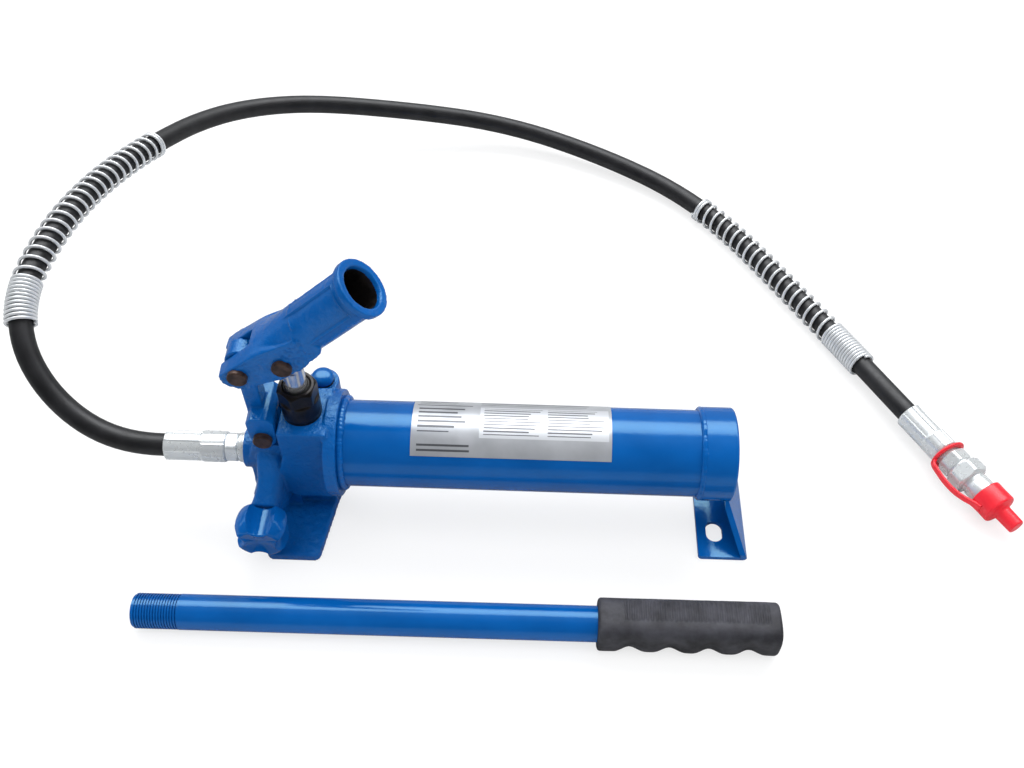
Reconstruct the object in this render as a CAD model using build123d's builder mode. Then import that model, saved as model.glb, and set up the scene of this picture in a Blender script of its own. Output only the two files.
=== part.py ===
from build123d import *
import os
from math import sin, cos, radians, sqrt, pi

# ---------------------------------------------------------------------------
# Hand operated hydraulic pump with reservoir, hose, coupler and loose handle.
# Millimetres, +Z up. Origin: on the ground plane, under the plunger axis.
# +X runs along the reservoir, from the pump head to the end cap. The release
# knob and the loose handle are on the -Y side, the filler plug on the +Y side.
# ---------------------------------------------------------------------------
os.makedirs("parts", exist_ok=True)

# fits, all on the radius
BORE_FIT = 0.04
SLIP_FIT = 0.03

# reservoir
TUBE_R, TUBE_BORE_R, TUBE_Z = 25.0, 23.0, 56.0
TUBE_START, TUBE_END = 20.0, 238.0      # x
CAP_R, CAP_START, CAP_END = 27.0, 225.3, 243.3

# pump head
BLOCK_HALF_WIDTH, BLOCK_TOP = 17.0, 85.0
FOOT_THICKNESS = 6.0
FLANGE_R, FLANGE_START = 31.0, 14.0     # the flange ends where the tube starts
CYLINDER_R, CYLINDER_BOTTOM = 9.0, 56.0
PORT_Z, PORT_R = 48.0, 6.5
FILLER_X, FILLER_Y, FILLER_TOP, FILLER_R = 7.0, 26.5, 80.0, 5.0

# valves
POCKET_R = 4.0                          # suction and discharge pockets
SEAT_BORE_R = 1.5                       # suction, discharge and release seats
SUCTION_Z, SUCTION_SEAT_X = 37.0, 18.0
DISCHARGE_SEAT_X = -12.0
RELIEF_AT = (0, 38.0)                   # x, z
RELIEF_SEAT_Y, RELIEF_BORE_R, RELIEF_SCREW_R = 8.0, 1.25, 3.5
RELEASE_AT = (-25.0, 28.0)              # x, z
RELEASE_SEAT_Y = -1.0
CHECK_BALL_R, RELIEF_BALL_R, RELEASE_BALL_R = 3.0, 2.0, 2.75

# linkage: pin centres as (x, z)
PLUNGER_R, PIN_R = 6.0, 4.0
LINK_TOP = (-24.5, 131.0)               # link to socket
PLUNGER_EYE = (0.0, 139.6)              # plunger to socket
LINK_FOOT = (-21.0, 77.0)               # link to head
CHEEK_Y = 14.0                          # half width over the cheeks and the fork

# hose and coupler
HOSE_R, HOSE_BORE_R = 6.7, 3.25
NECK_R, PASSAGE_R = 3.2, 1.8            # fitting inside the hose
HOSE_START_X, HOSE_BEND_X = -62, -88    # straight run out of the port
ADAPTER_HEX_X = -49.5
TOOL_DIR = Vector(0.4969, -0.8678, 0)   # axis of the coupler
TOOL_START = Vector(371.0, 67.2, 12.5)


def side_plane(y, centre=(0, 0)):
    # local x is +X and local y is +Z, extrudes towards -Y; centre is (x, z)
    return Plane(origin=(centre[0], y, centre[1]), x_dir=(1, 0, 0), z_dir=(0, -1, 0))


def x_plane(x, centre=(0, 0)):
    # local x is +Y and local y is +Z, extrudes towards +X; centre is (y, z)
    return Plane(origin=(x, *centre), x_dir=(0, 1, 0), z_dir=(1, 0, 0))


TOOL_PLANE = Plane(origin=TOOL_START, x_dir=(0, 0, 1), z_dir=TOOL_DIR)
PORT_PLANE = x_plane(0, (0, PORT_Z))


# --------------------------------------------------------------- shared shapes
def save(name, part):
    part.label = name
    export_step(part, "parts/" + name + ".step")


def ring(plane, outer_r, inner_r, length):
    with BuildPart() as body:
        with BuildSketch(plane):
            Circle(outer_r)
            Circle(inner_r, mode=Mode.SUBTRACT)
        extrude(amount=length)
    return body.part


def stack(plane, steps, bores=()):
    # coaxial steps and bores along the plane normal: (start, length, radius)
    # for a round one, (start, length, half width over flats, turn) for a hexagon
    with BuildPart() as body:
        for mode, sections in ((Mode.ADD, steps), (Mode.SUBTRACT, bores)):
            for start, length, radius, *turn in sections:
                with BuildSketch(plane.offset(start)):
                    if turn:
                        RegularPolygon(radius, 6, major_radius=False, rotation=turn[0])
                    else:
                        Circle(radius)
                extrude(amount=length, mode=mode)
    return body.part


def turned(plane, profile, axis):
    with BuildPart() as body:
        with BuildSketch(plane):
            with BuildLine():
                Polyline(*profile, close=True)
            make_face()
        revolve(axis=axis)
    return body.part


def ball(radius, centre):
    with BuildPart(Plane(origin=centre)) as body:
        Sphere(radius)
    return body.part


def seat_gap(ball_r, bore_r):
    # distance from the seat face to the centre of the ball resting on it
    return sqrt(ball_r ** 2 - bore_r ** 2) + SLIP_FIT


def coil_spring(start, direction, pitch, height, radius, wire_r):
    with BuildPart() as body:
        with BuildLine() as coil:
            Helix(pitch=pitch, height=height, radius=radius, center=start, direction=direction)
        with BuildSketch(Plane(origin=coil.line @ 0, z_dir=coil.line % 0)):
            Circle(wire_r)
        sweep(path=coil.line)
    return body.part


# --------------------------------------------------------------- pump head
FOOT_OUTLINE = [  # x, y
    (-26, -47), (5, -47), (10.5, -8), (12, 0), (10.5, 8), (5, 47), (-26, 47), (-33, 8), (-33, -8),
]
WEB_PROFILE = [(-30, 5), (11, 5), (11, 30), (-30, 30)]  # x, z
BLOCK_PROFILE = [  # x, z
    (-12.4, BLOCK_TOP), (15, BLOCK_TOP), (15, 24), (-10, 24), (-17, 31), (-17, 44), (-12.4, 62),
]
COLUMN_PROFILE = [(-30, 66), (-33.5, 56), (-36, 10), (-34, 5), (-10, 5), (-10, 66)]  # x, z

HEAD_HOLES = [  # top centre, radius, depth; all drilled down
    # pump cylinder, chamber below it, filler
    ((0, 0, BLOCK_TOP), CYLINDER_R + BORE_FIT, BLOCK_TOP - CYLINDER_BOTTOM),
    ((0, 0, 56.5), 6.5, 26.5),
    ((FILLER_X, FILLER_Y, FILLER_TOP), FILLER_R + BORE_FIT, 20),
]
HEAD_BORES = [  # plane, radius, depth along the plane normal
    # suction pocket, opens into the reservoir
    (x_plane(5, (0, SUCTION_Z)), POCKET_R, 25),
    # discharge passage and pocket, then the hose port
    (PORT_PLANE.offset(DISCHARGE_SEAT_X - 1), SEAT_BORE_R, 13),
    (PORT_PLANE.offset(DISCHARGE_SEAT_X - 11), POCKET_R, 11),
    (PORT_PLANE.offset(-40), PORT_R + BORE_FIT, 17.5),
    # relief passage from the chamber, and its pocket open to +Y
    (side_plane(RELIEF_SEAT_Y + 1, RELIEF_AT), RELIEF_BORE_R, 9),
    (side_plane(RELIEF_SEAT_Y + 12, RELIEF_AT), RELIEF_SCREW_R + BORE_FIT, 12),
    # drilled way from the discharge pocket to the release seat
    (Plane(origin=(-19, 0, 45), x_dir=(0, 1, 0), z_dir=(-6, 2.5, -17)), 1.25, 18.4),
    # release seat, ball chamber and spindle bore
    (side_plane(4.2, RELEASE_AT), SEAT_BORE_R, 6),
    (side_plane(RELEASE_SEAT_Y, RELEASE_AT), 3.6, 14),
    (side_plane(-11, RELEASE_AT), 5.05, 12),
    # return way from the release chamber to the reservoir
    (Plane(origin=(-25, -8.6, 28), x_dir=(0, 1, 0), z_dir=(52, 0, 9)), 1.25, 54),
    # cross way from the filler bore into the reservoir
    (x_plane(FILLER_X, (17.5, 66)), 2.5, 20),
    # lower link pin
    (side_plane(20, LINK_FOOT), PIN_R + BORE_FIT, 40),
]


def pump_head():
    with BuildPart() as body:
        # foot
        with BuildSketch(Plane.XY):
            with BuildLine():
                Polyline(*FOOT_OUTLINE, close=True)
            make_face()
            fillet(vertices().group_by(Axis.Y)[0], 4.5)
            fillet(vertices().group_by(Axis.Y)[-1], 4.5)
        extrude(amount=FOOT_THICKNESS)
        fillet(faces().sort_by(Axis.Z)[-1].edges(), 1.2)
        # web between foot and block
        with BuildSketch(side_plane(8)):
            with BuildLine():
                Polyline(*WEB_PROFILE, close=True)
            make_face()
        extrude(amount=16)
        # main block
        with BuildSketch(side_plane(BLOCK_HALF_WIDTH)):
            with BuildLine():
                Polyline(*BLOCK_PROFILE, close=True)
            make_face()
            fillet(vertices().sort_by(Axis.Y)[0:2], 3)
        extrude(amount=2 * BLOCK_HALF_WIDTH)
        # end flange that closes the reservoir, and its spigot inside the tube
        with BuildSketch(x_plane(FLANGE_START - 1, (0, TUBE_Z))):
            Circle(FLANGE_R)
        extrude(amount=TUBE_START - FLANGE_START + 1)
        with BuildSketch(x_plane(TUBE_START, (0, TUBE_Z))):
            Circle(TUBE_BORE_R - SLIP_FIT)
        extrude(amount=6)
        # column on the -X side that carries the link lug and the ports
        with BuildSketch(side_plane(11)):
            with BuildLine():
                Polyline(*COLUMN_PROFILE, close=True)
            make_face()
        extrude(amount=22)
        # lug for the lower link pin
        with BuildSketch(side_plane(5.7)):
            with Locations(LINK_FOOT):
                Circle(7.6)
            with Locations((LINK_FOOT[0], 67)):
                Rectangle(15.2, 20)
        extrude(amount=11.4)
        # hose port boss
        with BuildSketch(PORT_PLANE.offset(-38)):
            Circle(11.5)
        extrude(amount=20)
        # release valve boss
        with BuildSketch(side_plane(-8, RELEASE_AT)):
            Circle(9)
        extrude(amount=13)
        # filler boss
        with BuildSketch(Plane.XY.offset(FILLER_TOP - 38)):
            with Locations((FILLER_X, FILLER_Y)):
                Circle(9)
            with Locations((FILLER_X, 17)):
                Rectangle(16, 12)
        extrude(amount=38)

        for top, radius, depth in HEAD_HOLES:
            with Locations(top):
                Hole(radius, depth=depth)
        for plane, radius, depth in HEAD_BORES:
            with BuildSketch(plane):
                Circle(radius)
            extrude(amount=depth, mode=Mode.SUBTRACT)
    return body.part


save("pump_head", pump_head())

# --------------------------------------------------------------- reservoir
save("reservoir_tube",
     ring(x_plane(TUBE_START, (0, TUBE_Z)), TUBE_R, TUBE_BORE_R, TUBE_END - TUBE_START))


def end_cap():
    with BuildPart() as body:
        with BuildSketch(x_plane(CAP_START, (0, TUBE_Z))):
            Circle(CAP_R)
        extrude(amount=CAP_END - CAP_START)
        fillet(edges().filter_by(GeomType.CIRCLE).sort_by(Axis.X)[-1], 1.5)
        fillet(edges().filter_by(GeomType.CIRCLE).sort_by(Axis.X)[0], 0.6)
        with BuildSketch(x_plane(CAP_START, (0, TUBE_Z))):
            Circle(TUBE_R + SLIP_FIT)
        extrude(amount=TUBE_END - CAP_START + 0.02, mode=Mode.SUBTRACT)
    return body.part


save("end_cap", end_cap())

# rear foot: 3 mm sheet, slotted base, folded up to the lower edge of the cap
REAR_HALF_WIDTH, REAR_TOP, REAR_START, SHEET = 37, 28.8, 229.5, 3
REAR_FACE = CAP_END + 0.05              # upright stands just clear of the cap
SLOT_WIDTH, SLOT_LENGTH, SLOT_PITCH, SLOT_X = 10.0, 14.0, 39.0, 240.0
REAR_PROFILE = [  # x, z
    (REAR_START, 0), (259.6, 0), (245.2, REAR_TOP), (REAR_FACE, REAR_TOP),
    (REAR_FACE, 25.4), (254.6, SHEET), (REAR_START, SHEET),
]


def rear_foot():
    with BuildPart() as body:
        with BuildSketch(side_plane(REAR_HALF_WIDTH)):
            with BuildLine():
                Polyline(*REAR_PROFILE, close=True)
            make_face()
            fillet(vertices().filter_by_position(Axis.X, 259, 260), 2.5)
        extrude(amount=2 * REAR_HALF_WIDTH)
        # taper of the upright towards the cap, both sides
        with BuildSketch(x_plane(225)):
            for side in (-1, 1):
                with BuildLine():
                    Polyline((side * REAR_HALF_WIDTH, 5.5), (side * 14, REAR_TOP),
                             (side * 14, 40), (side * 45, 40), (side * 45, 5.5), close=True)
                make_face()
        extrude(amount=40, mode=Mode.SUBTRACT)
        with BuildSketch(Plane.XY):
            with Locations((SLOT_X, -SLOT_PITCH / 2), (SLOT_X, SLOT_PITCH / 2)):
                SlotOverall(SLOT_LENGTH, SLOT_WIDTH, rotation=90)
        extrude(amount=5, mode=Mode.SUBTRACT)
        fillet(edges().filter_by(Axis.Z).sort_by(Axis.X)[0:2], 2.0)
    return body.part


save("rear_foot", rear_foot())


def data_plate():
    # thin foil wrapped over the top of the tube, between two angles from +Y
    start, end, reach = radians(35), radians(140), 60
    with BuildPart() as body:
        with BuildSketch(x_plane(61, (0, TUBE_Z))):
            Circle(TUBE_R + 0.32)
            Circle(TUBE_R + 0.02, mode=Mode.SUBTRACT)
            with BuildLine():
                Polyline((0, 0), (reach * cos(end), reach * sin(end)), (-10, reach),
                         (reach * cos(start), reach * sin(start)), close=True)
            make_face(mode=Mode.INTERSECT)
        extrude(amount=112)
    return body.part


save("data_plate", data_plate())

# --------------------------------------------------------------- pumping element
HEX_START, HEX_HEIGHT = 99, 9.5         # hexagon at the top of the cylinder
SEAL_BORE_R, SEAL_R = PLUNGER_R + 0.06, 7.85
WIPER_R = 7.95
WIPER_PROFILE = [  # radius, z
    (SEAL_BORE_R, 104.6), (WIPER_R, 104.6), (WIPER_R, 107.6), (7.0, 108.6), (6.4, 108.6),
    (SEAL_BORE_R, 107.8),
]
SEAL_PROFILE = [  # radius, z; two lips point down
    (SEAL_BORE_R, 64.4), (SEAL_R, 64.4), (SEAL_R, 59.4), (7.2, 59.2), (6.95, 61.5), (6.7, 59.2),
    (SEAL_BORE_R, 59.4),
]


def pump_cylinder():
    with BuildPart() as body:
        for bottom, radius, height in ((CYLINDER_BOTTOM, CYLINDER_R, 30.6), (86.55, 11.0, 12.5)):
            with BuildSketch(Plane.XY.offset(bottom)):
                Circle(radius)
            extrude(amount=height)
        with BuildSketch(Plane.XY.offset(HEX_START)):
            RegularPolygon(9.9, 6, major_radius=False, rotation=24)
        extrude(amount=HEX_HEIGHT)
        chamfer(faces().sort_by(Axis.Z)[-1].edges(), 1.0)
        # plunger bore with the wiper recess on top and the seal recess below
        with Locations((0, 0, HEX_START + HEX_HEIGHT)):
            CounterBoreHole(PLUNGER_R + 0.05, 8.0, 4.0)
        with BuildSketch(Plane.XY.offset(CYLINDER_BOTTOM)):
            Circle(7.9)
        extrude(amount=8.5, mode=Mode.SUBTRACT)
    return body.part


def plunger():
    with BuildPart() as body:
        with BuildSketch(Plane.XY.offset(50)):
            Circle(PLUNGER_R)
        extrude(amount=PLUNGER_EYE[1] - 50)
        chamfer(faces().sort_by(Axis.Z)[0].edges(), 0.8)
        with BuildSketch(side_plane(PLUNGER_R, PLUNGER_EYE)):
            Circle(PLUNGER_R)
        extrude(amount=2 * PLUNGER_R)
        # two flats that form the tang
        with BuildSketch(Plane.XY.offset(122.5)):
            with Locations((0, 10), (0, -10)):
                Rectangle(30, 10)
        extrude(amount=30, mode=Mode.SUBTRACT)
        with BuildSketch(side_plane(10, PLUNGER_EYE)):
            Circle(PIN_R + BORE_FIT)
        extrude(amount=20, mode=Mode.SUBTRACT)
    return body.part


save("pump_cylinder", pump_cylinder())
save("cylinder_washer", ring(Plane.XY.offset(BLOCK_TOP + 0.02), 10.9, CYLINDER_R + 0.1, 1.5))
save("wiper_ring", turned(Plane.XZ, WIPER_PROFILE, Axis.Z))
save("plunger_seal", turned(Plane.XZ, SEAL_PROFILE, Axis.Z))
save("backup_ring", ring(Plane.XY.offset(56.7), SEAL_R, SEAL_BORE_R, 2.3))
save("plunger", plunger())

# --------------------------------------------------------------- suction valve
CHECK_GAP = seat_gap(CHECK_BALL_R, SEAT_BORE_R)

save("suction_seat",
     ring(x_plane(SUCTION_SEAT_X, (0, SUCTION_Z)), POCKET_R - SLIP_FIT, SEAT_BORE_R, 8))
save("suction_filter",
     stack(x_plane(26.05, (0, 37.9)), steps=[(0, 14, 4.6)], bores=[(0, 13.2, 3.9)]))
save("suction_ball", ball(CHECK_BALL_R, (SUCTION_SEAT_X - CHECK_GAP, 0, SUCTION_Z)))
save("suction_spring", coil_spring((7.6, 0, SUCTION_Z), (1, 0, 0),
                                   pitch=1.2, height=3.2, radius=2.4, wire_r=0.3))

# --------------------------------------------------------------- discharge valve
save("discharge_ball", ball(CHECK_BALL_R, (DISCHARGE_SEAT_X - CHECK_GAP, 0, PORT_Z)))
save("discharge_spring", coil_spring((-22.0, 0, PORT_Z), (1, 0, 0),
                                     pitch=1.0, height=2.8, radius=2.4, wire_r=0.25))

# --------------------------------------------------------------- relief valve
RELIEF_X, RELIEF_Z = RELIEF_AT
RELIEF_BALL_Y = RELIEF_SEAT_Y + seat_gap(RELIEF_BALL_R, RELIEF_BORE_R)

save("relief_ball", ball(RELIEF_BALL_R, (RELIEF_X, RELIEF_BALL_Y, RELIEF_Z)))
save("relief_spring", coil_spring((RELIEF_X, 12.45, RELIEF_Z), (0, 1, 0),
                                  pitch=0.8, height=1.8, radius=1.6, wire_r=0.22))
save("relief_screw", stack(side_plane(18.2, RELIEF_AT),
                           steps=[(0, 3.6, RELIEF_SCREW_R)], bores=[(0, 2.0, 1.5, 0)]))

# --------------------------------------------------------------- release valve
RELEASE_X, RELEASE_Z = RELEASE_AT
RELEASE_BALL_Y = RELEASE_SEAT_Y - seat_gap(RELEASE_BALL_R, SEAT_BORE_R)
RELEASE_AXIS = Axis((RELEASE_X, 0, RELEASE_Z), (0, 1, 0))
RELEASE_PLANE = Plane(origin=(RELEASE_X, 0, RELEASE_Z), x_dir=(1, 0, 0), z_dir=(0, 0, 1))
NOSE_Y = RELEASE_BALL_Y - RELEASE_BALL_R - 0.05
SPINDLE_R, STEM_R = 5.0, 4.0
SPINDLE_PROFILE = [  # radius, y; nose at the ball, seal groove, stem in the knob
    (0, NOSE_Y), (1.6, NOSE_Y), (3.2, NOSE_Y - 2.2), (3.2, -12.2), (SPINDLE_R, -12.2),
    (SPINDLE_R, -14.6), (3.9, -14.6), (3.9, -16.6), (SPINDLE_R, -16.6), (SPINDLE_R, -33),
    (STEM_R, -34), (STEM_R, -47), (0, -47),
]
KNOB_START_Y, KNOB_LENGTH = -35.2, 15.8
LOBE_ANGLES = (38, 128, 218, 308)
LOBE_CENTRE_R = 11.2


def spindle_seal():
    with BuildPart() as body:
        with BuildSketch(RELEASE_PLANE):
            with Locations((4.45, -15.6)):
                Circle(0.52)
        revolve(axis=RELEASE_AXIS)
    return body.part


def release_knob():
    plane = side_plane(KNOB_START_Y, RELEASE_AT)
    with BuildPart() as body:
        with BuildSketch(plane):
            Circle(8)
        extrude(amount=KNOB_LENGTH - 1.5)
        for angle in LOBE_ANGLES:
            with BuildSketch(plane):
                with Locations((LOBE_CENTRE_R * cos(radians(angle)),
                                LOBE_CENTRE_R * sin(radians(angle)))):
                    Circle(5.4)
            extrude(amount=KNOB_LENGTH)
        # bars that join opposite lobes
        for angle in LOBE_ANGLES[:2]:
            with BuildSketch(plane):
                Rectangle(2 * LOBE_CENTRE_R, 10.0, rotation=angle)
            extrude(amount=KNOB_LENGTH - 0.6)
        with BuildSketch(plane):
            Circle(STEM_R + SLIP_FIT)
        extrude(amount=12.0, mode=Mode.SUBTRACT)
    return body.part


save("release_ball", ball(RELEASE_BALL_R, (RELEASE_X, RELEASE_BALL_Y, RELEASE_Z)))
save("release_spindle", turned(RELEASE_PLANE, SPINDLE_PROFILE, RELEASE_AXIS))
save("spindle_seal", spindle_seal())
save("release_knob", release_knob())


# --------------------------------------------------------------- filler plug
def filler_plug():
    # threaded shank with a domed head, as (radius, z)
    head_r, head_bottom, rim_z, dome_top, shank_bottom = 6.5, 81.25, 83.0, 86.5, 68
    with BuildPart() as body:
        with BuildSketch(side_plane(FILLER_Y, (FILLER_X, 0))):
            with BuildLine():
                Polyline((0, dome_top), (0, shank_bottom), (FILLER_R, shank_bottom),
                         (FILLER_R, head_bottom), (head_r, head_bottom), (head_r, rim_z))
                Spline((head_r, rim_z), (4.8, 85.5), (0, dome_top), tangents=[(0, 1), (-1, 0)])
            make_face()
        revolve(axis=Axis((FILLER_X, FILLER_Y, 0), (0, 0, 1)))
    return body.part


save("filler_gasket", ring(Plane(origin=(FILLER_X, FILLER_Y, FILLER_TOP + 0.02)),
                           6.4, FILLER_R + 0.1, 1.2))
save("filler_plug", filler_plug())

# --------------------------------------------------------------- link
FORK_Y = 6.2                            # half width of the gap in the fork
TONGUE_PROFILE = [(-29.2, 84), (-19.8, 84), (-19.8, 131), (-29.2, 131)]  # x, z
SHOULDER_PROFILE = [  # x, z
    (-28.5, 77), (-28.8, 90), (-26, 93.5), (-17, 93.5), (-13.6, 90), (-13.5, 77),
]
FORK_GAP_PROFILE = [(-40, 60), (-5, 60), (-5, 86.5), (-40, 86.5)]  # x, z


def link():
    with BuildPart() as body:
        # tongue and upper eye
        with BuildSketch(side_plane(5.0)):
            with BuildLine():
                Polyline(*TONGUE_PROFILE, close=True)
            make_face()
            with Locations(LINK_TOP):
                Circle(8.8)
        extrude(amount=10)
        # shoulder and fork
        with BuildSketch(side_plane(CHEEK_Y)):
            with BuildLine():
                Polyline(*SHOULDER_PROFILE, close=True)
            make_face()
            with Locations(LINK_FOOT):
                Circle(7.5)
        extrude(amount=2 * CHEEK_Y)
        with BuildSketch(side_plane(FORK_Y)):
            with BuildLine():
                Polyline(*FORK_GAP_PROFILE, close=True)
            make_face()
        extrude(amount=2 * FORK_Y, mode=Mode.SUBTRACT)
        # lower eye, running fit
        with BuildSketch(side_plane(20, LINK_FOOT)):
            Circle(PIN_R + BORE_FIT)
        extrude(amount=40, mode=Mode.SUBTRACT)
        # upper eye: oval clearance hole, the opened pivot of the linkage
        with BuildSketch(side_plane(10)):
            with Locations((LINK_TOP[0] + 0.7, LINK_TOP[1] + 0.3)):
                SlotCenterToCenter(3.4, 2 * (PIN_R + 0.75))
        extrude(amount=20, mode=Mode.SUBTRACT)
        fillet(edges().filter_by(Axis.Y).filter_by_position(Axis.Z, 89.5, 94), 1.5)
    return body.part


save("link", link())

# --------------------------------------------------------------- handle socket
SOCKET_ANGLE = radians(42.6)            # barrel axis above +X
SOCKET_PLANE = Plane(origin=(44.7, 0, 185.5), x_dir=(0, 1, 0),
                     z_dir=(cos(SOCKET_ANGLE), 0, sin(SOCKET_ANGLE)))  # at the mouth
SOCKET_R, RIM_R, SOCKET_BORE_R, MOUTH_R = 13.75, 15.75, 10.2, 11.7
SLOT_Y = 5.3                            # half width of the slot between the cheeks
CHEEK_PROFILE = [  # x, z
    (-20.6, 121.3), (-0.4, 130.0), (10.2, 138.7), (21.5, 150.8), (22.3, 155.5), (6.5, 161.5),
    (-16, 152), (-29.5, 139.5), (-32, 131), (-28, 121.5),
]
TOP_BLOCK_PROFILE = [  # x, z
    (-33.0, 134), (-29.8, 139.5), (-12.5, 155.4), (4, 169), (16, 158), (-10, 134),
]
SLOT_PROFILE = [  # x, z
    (-60, 100), (30, 100), (12.5, 137.5), (6.5, 145.5), (-8.5, 150), (-19.5, 146), (-27, 155),
    (-60, 155),
]


def handle_socket():
    with BuildPart() as body:
        # cheeks
        with BuildSketch(side_plane(CHEEK_Y)):
            with BuildLine():
                Polyline(*CHEEK_PROFILE, close=True)
            make_face()
            with Locations(LINK_TOP):
                Circle(10.4)
        extrude(amount=2 * CHEEK_Y)
        # narrower top block
        with BuildSketch(side_plane(11)):
            with BuildLine():
                Polyline(*TOP_BLOCK_PROFILE, close=True)
            make_face()
        extrude(amount=22)
        # barrel, rim, then the handle bore
        for radius, depth, mode in ((SOCKET_R, 66, Mode.ADD), (RIM_R, 5.5, Mode.ADD),
                                    (SOCKET_BORE_R, 50, Mode.SUBTRACT)):
            with BuildSketch(SOCKET_PLANE):
                Circle(radius)
            extrude(amount=-depth, mode=mode)
        # bore widened at the mouth
        with BuildSketch(SOCKET_PLANE.offset(-5)):
            Circle(SOCKET_BORE_R)
        with BuildSketch(SOCKET_PLANE):
            Circle(MOUTH_R)
        loft(mode=Mode.SUBTRACT)
        # slot for link and plunger tang
        with BuildSketch(side_plane(SLOT_Y)):
            with BuildLine():
                Polyline(*SLOT_PROFILE, close=True)
            make_face()
        extrude(amount=2 * SLOT_Y, mode=Mode.SUBTRACT)
        # pin holes
        with BuildSketch(side_plane(20)):
            with Locations(LINK_TOP, PLUNGER_EYE):
                Circle(PIN_R + 0.02)
        extrude(amount=40, mode=Mode.SUBTRACT)
    return body.part


save("handle_socket", handle_socket())

# --------------------------------------------------------------- pins and clips
PIN_HEAD_R, GROOVE_R = 5.3, 3.3
PINS = [  # name, centre (x, z), gap between cheek and head, head length
    ("link_pin_upper", LINK_TOP, 0.05, 2.6),
    ("plunger_pin", PLUNGER_EYE, 0.05, 2.6),
    ("link_pin_lower", LINK_FOOT, 0.25, 3.4),
]


def headed_pin(centre, face, head_length):
    # along Y, head from y = -face towards -Y, groove for a clip at the +Y end
    back = -(face + 2.65)
    profile = [  # radius, distance towards -Y
        (0, back), (3.5, back), (PIN_R, back + 0.5), (PIN_R, back + 1.2),
        (GROOVE_R, back + 1.2), (GROOVE_R, back + 2.2), (PIN_R, back + 2.2), (PIN_R, face),
        (PIN_HEAD_R, face), (PIN_HEAD_R, face + head_length - 0.5),
        (4.8, face + head_length), (0, face + head_length),
    ]
    body = revolve(Plane.XZ * make_face(Polyline(*profile, close=True)), Axis.Z)
    return Pos(centre[0], 0, centre[1]) * Rot(90, 0, 0) * body


def clip(centre, y):
    # split retaining ring in the groove of a pin
    split_ring = Cylinder(5.2, 0.8) - Cylinder(GROOVE_R + 0.05, 2) - Pos(0, -4, 0) * Box(3.4, 8, 2)
    return Pos(centre[0], y, centre[1]) * Rot(90, 0, 0) * split_ring


for pin_name, pin_centre, head_gap, pin_head_length in PINS:
    pin_face = CHEEK_Y + head_gap
    save(pin_name, headed_pin(pin_centre, pin_face, pin_head_length))
    save(pin_name + "_clip", clip(pin_centre, pin_face + 0.95))

# --------------------------------------------------------------- hose fittings at the pump
ADAPTER_STEPS = [  # x, length, radius (and turn of the hexagon)
    (-42, 2.5, 8.8),
    (-40, 17.4, PORT_R),
    (ADAPTER_HEX_X, 7.6, 8.0, 10),
    (-80, 31, NECK_R),
]
PUMP_FERRULE_LENGTH, TOOL_FERRULE_LENGTH = 36.0, 34.0


def ferrule(plane, length, collar):
    # crimped sleeve: eight pressed flats, then a collar; the plane is at the
    # open hose end and its normal points towards the fitting
    with BuildPart() as body:
        with BuildSketch(plane):
            RegularPolygon(8.7, 8, major_radius=False, rotation=11)
        extrude(amount=length - collar)
        with BuildSketch(plane.offset(length - collar)):
            Circle(9.1)
        extrude(amount=collar)
        with BuildSketch(plane):
            Circle(9.25)
        extrude(amount=length, mode=Mode.INTERSECT)
        for radius, depth in ((HOSE_R + SLIP_FIT, length - 3), (NECK_R + SLIP_FIT, length)):
            with BuildSketch(plane):
                Circle(radius)
            extrude(amount=depth, mode=Mode.SUBTRACT)
    return body.part


save("port_washer", ring(PORT_PLANE.offset(-39.45), 9.4, PORT_R + 0.1, 1.4))
save("hose_adapter", stack(PORT_PLANE, ADAPTER_STEPS, bores=[(-80, 58, PASSAGE_R)]))
save("hose_ferrule_pump", ferrule(PORT_PLANE.offset(ADAPTER_HEX_X - PUMP_FERRULE_LENGTH),
                                  PUMP_FERRULE_LENGTH, collar=10.0))
save("hose_ferrule_tool", ferrule(TOOL_PLANE, TOOL_FERRULE_LENGTH, collar=7.0))

# --------------------------------------------------------------- hose
# centre line: leaves the port towards -X, loops up and round the +Y side of
# the pump, comes down and ends at the coupler
BEND_END = TOOL_START - TOOL_DIR * 3
HOSE_END = TOOL_START + TOOL_DIR * 24
HOSE_POINTS = [  # x, y, z
    (HOSE_START_X, 0, PORT_Z), (-75, 0, PORT_Z), (HOSE_BEND_X, 0, PORT_Z), (-119, 4, 50),
    (-152, 19, 66), (-172, 47, 92), (-173, 100, 104), (-163, 165, 98), (-142, 240, 79),
    (-110, 298, 61), (-62, 332, 46), (14.5, 345, 33), (95, 347, 20), (177, 319, 12),
    (239, 278, 9), (300, 195, 9), (352, 104, 10.5),
    tuple(BEND_END), tuple(TOOL_START + TOOL_DIR * 10), tuple(HOSE_END),
]
# arc lengths along the guide curve where one pair of arcs hands over to the next
ARC_STOPS = [58, 90, 120, 160, 210, 265, 330, 400, 460, 520, 600, 680, 760, 840, 930, 1010]


def arc_joint(start, start_dir, end, end_dir):
    # where two tangent arcs meet, one leaving start, the other reaching end
    chord = end - start
    spread = 2 * (1 - start_dir.dot(end_dir))
    advance = chord.dot(start_dir + end_dir)
    if spread < 1e-9:
        reach = chord.dot(chord) / (2 * advance)
    else:
        reach = (-advance + sqrt(advance * advance + spread * chord.dot(chord))) / spread
    return (start + start_dir * reach + end - end_dir * reach) * 0.5


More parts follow.
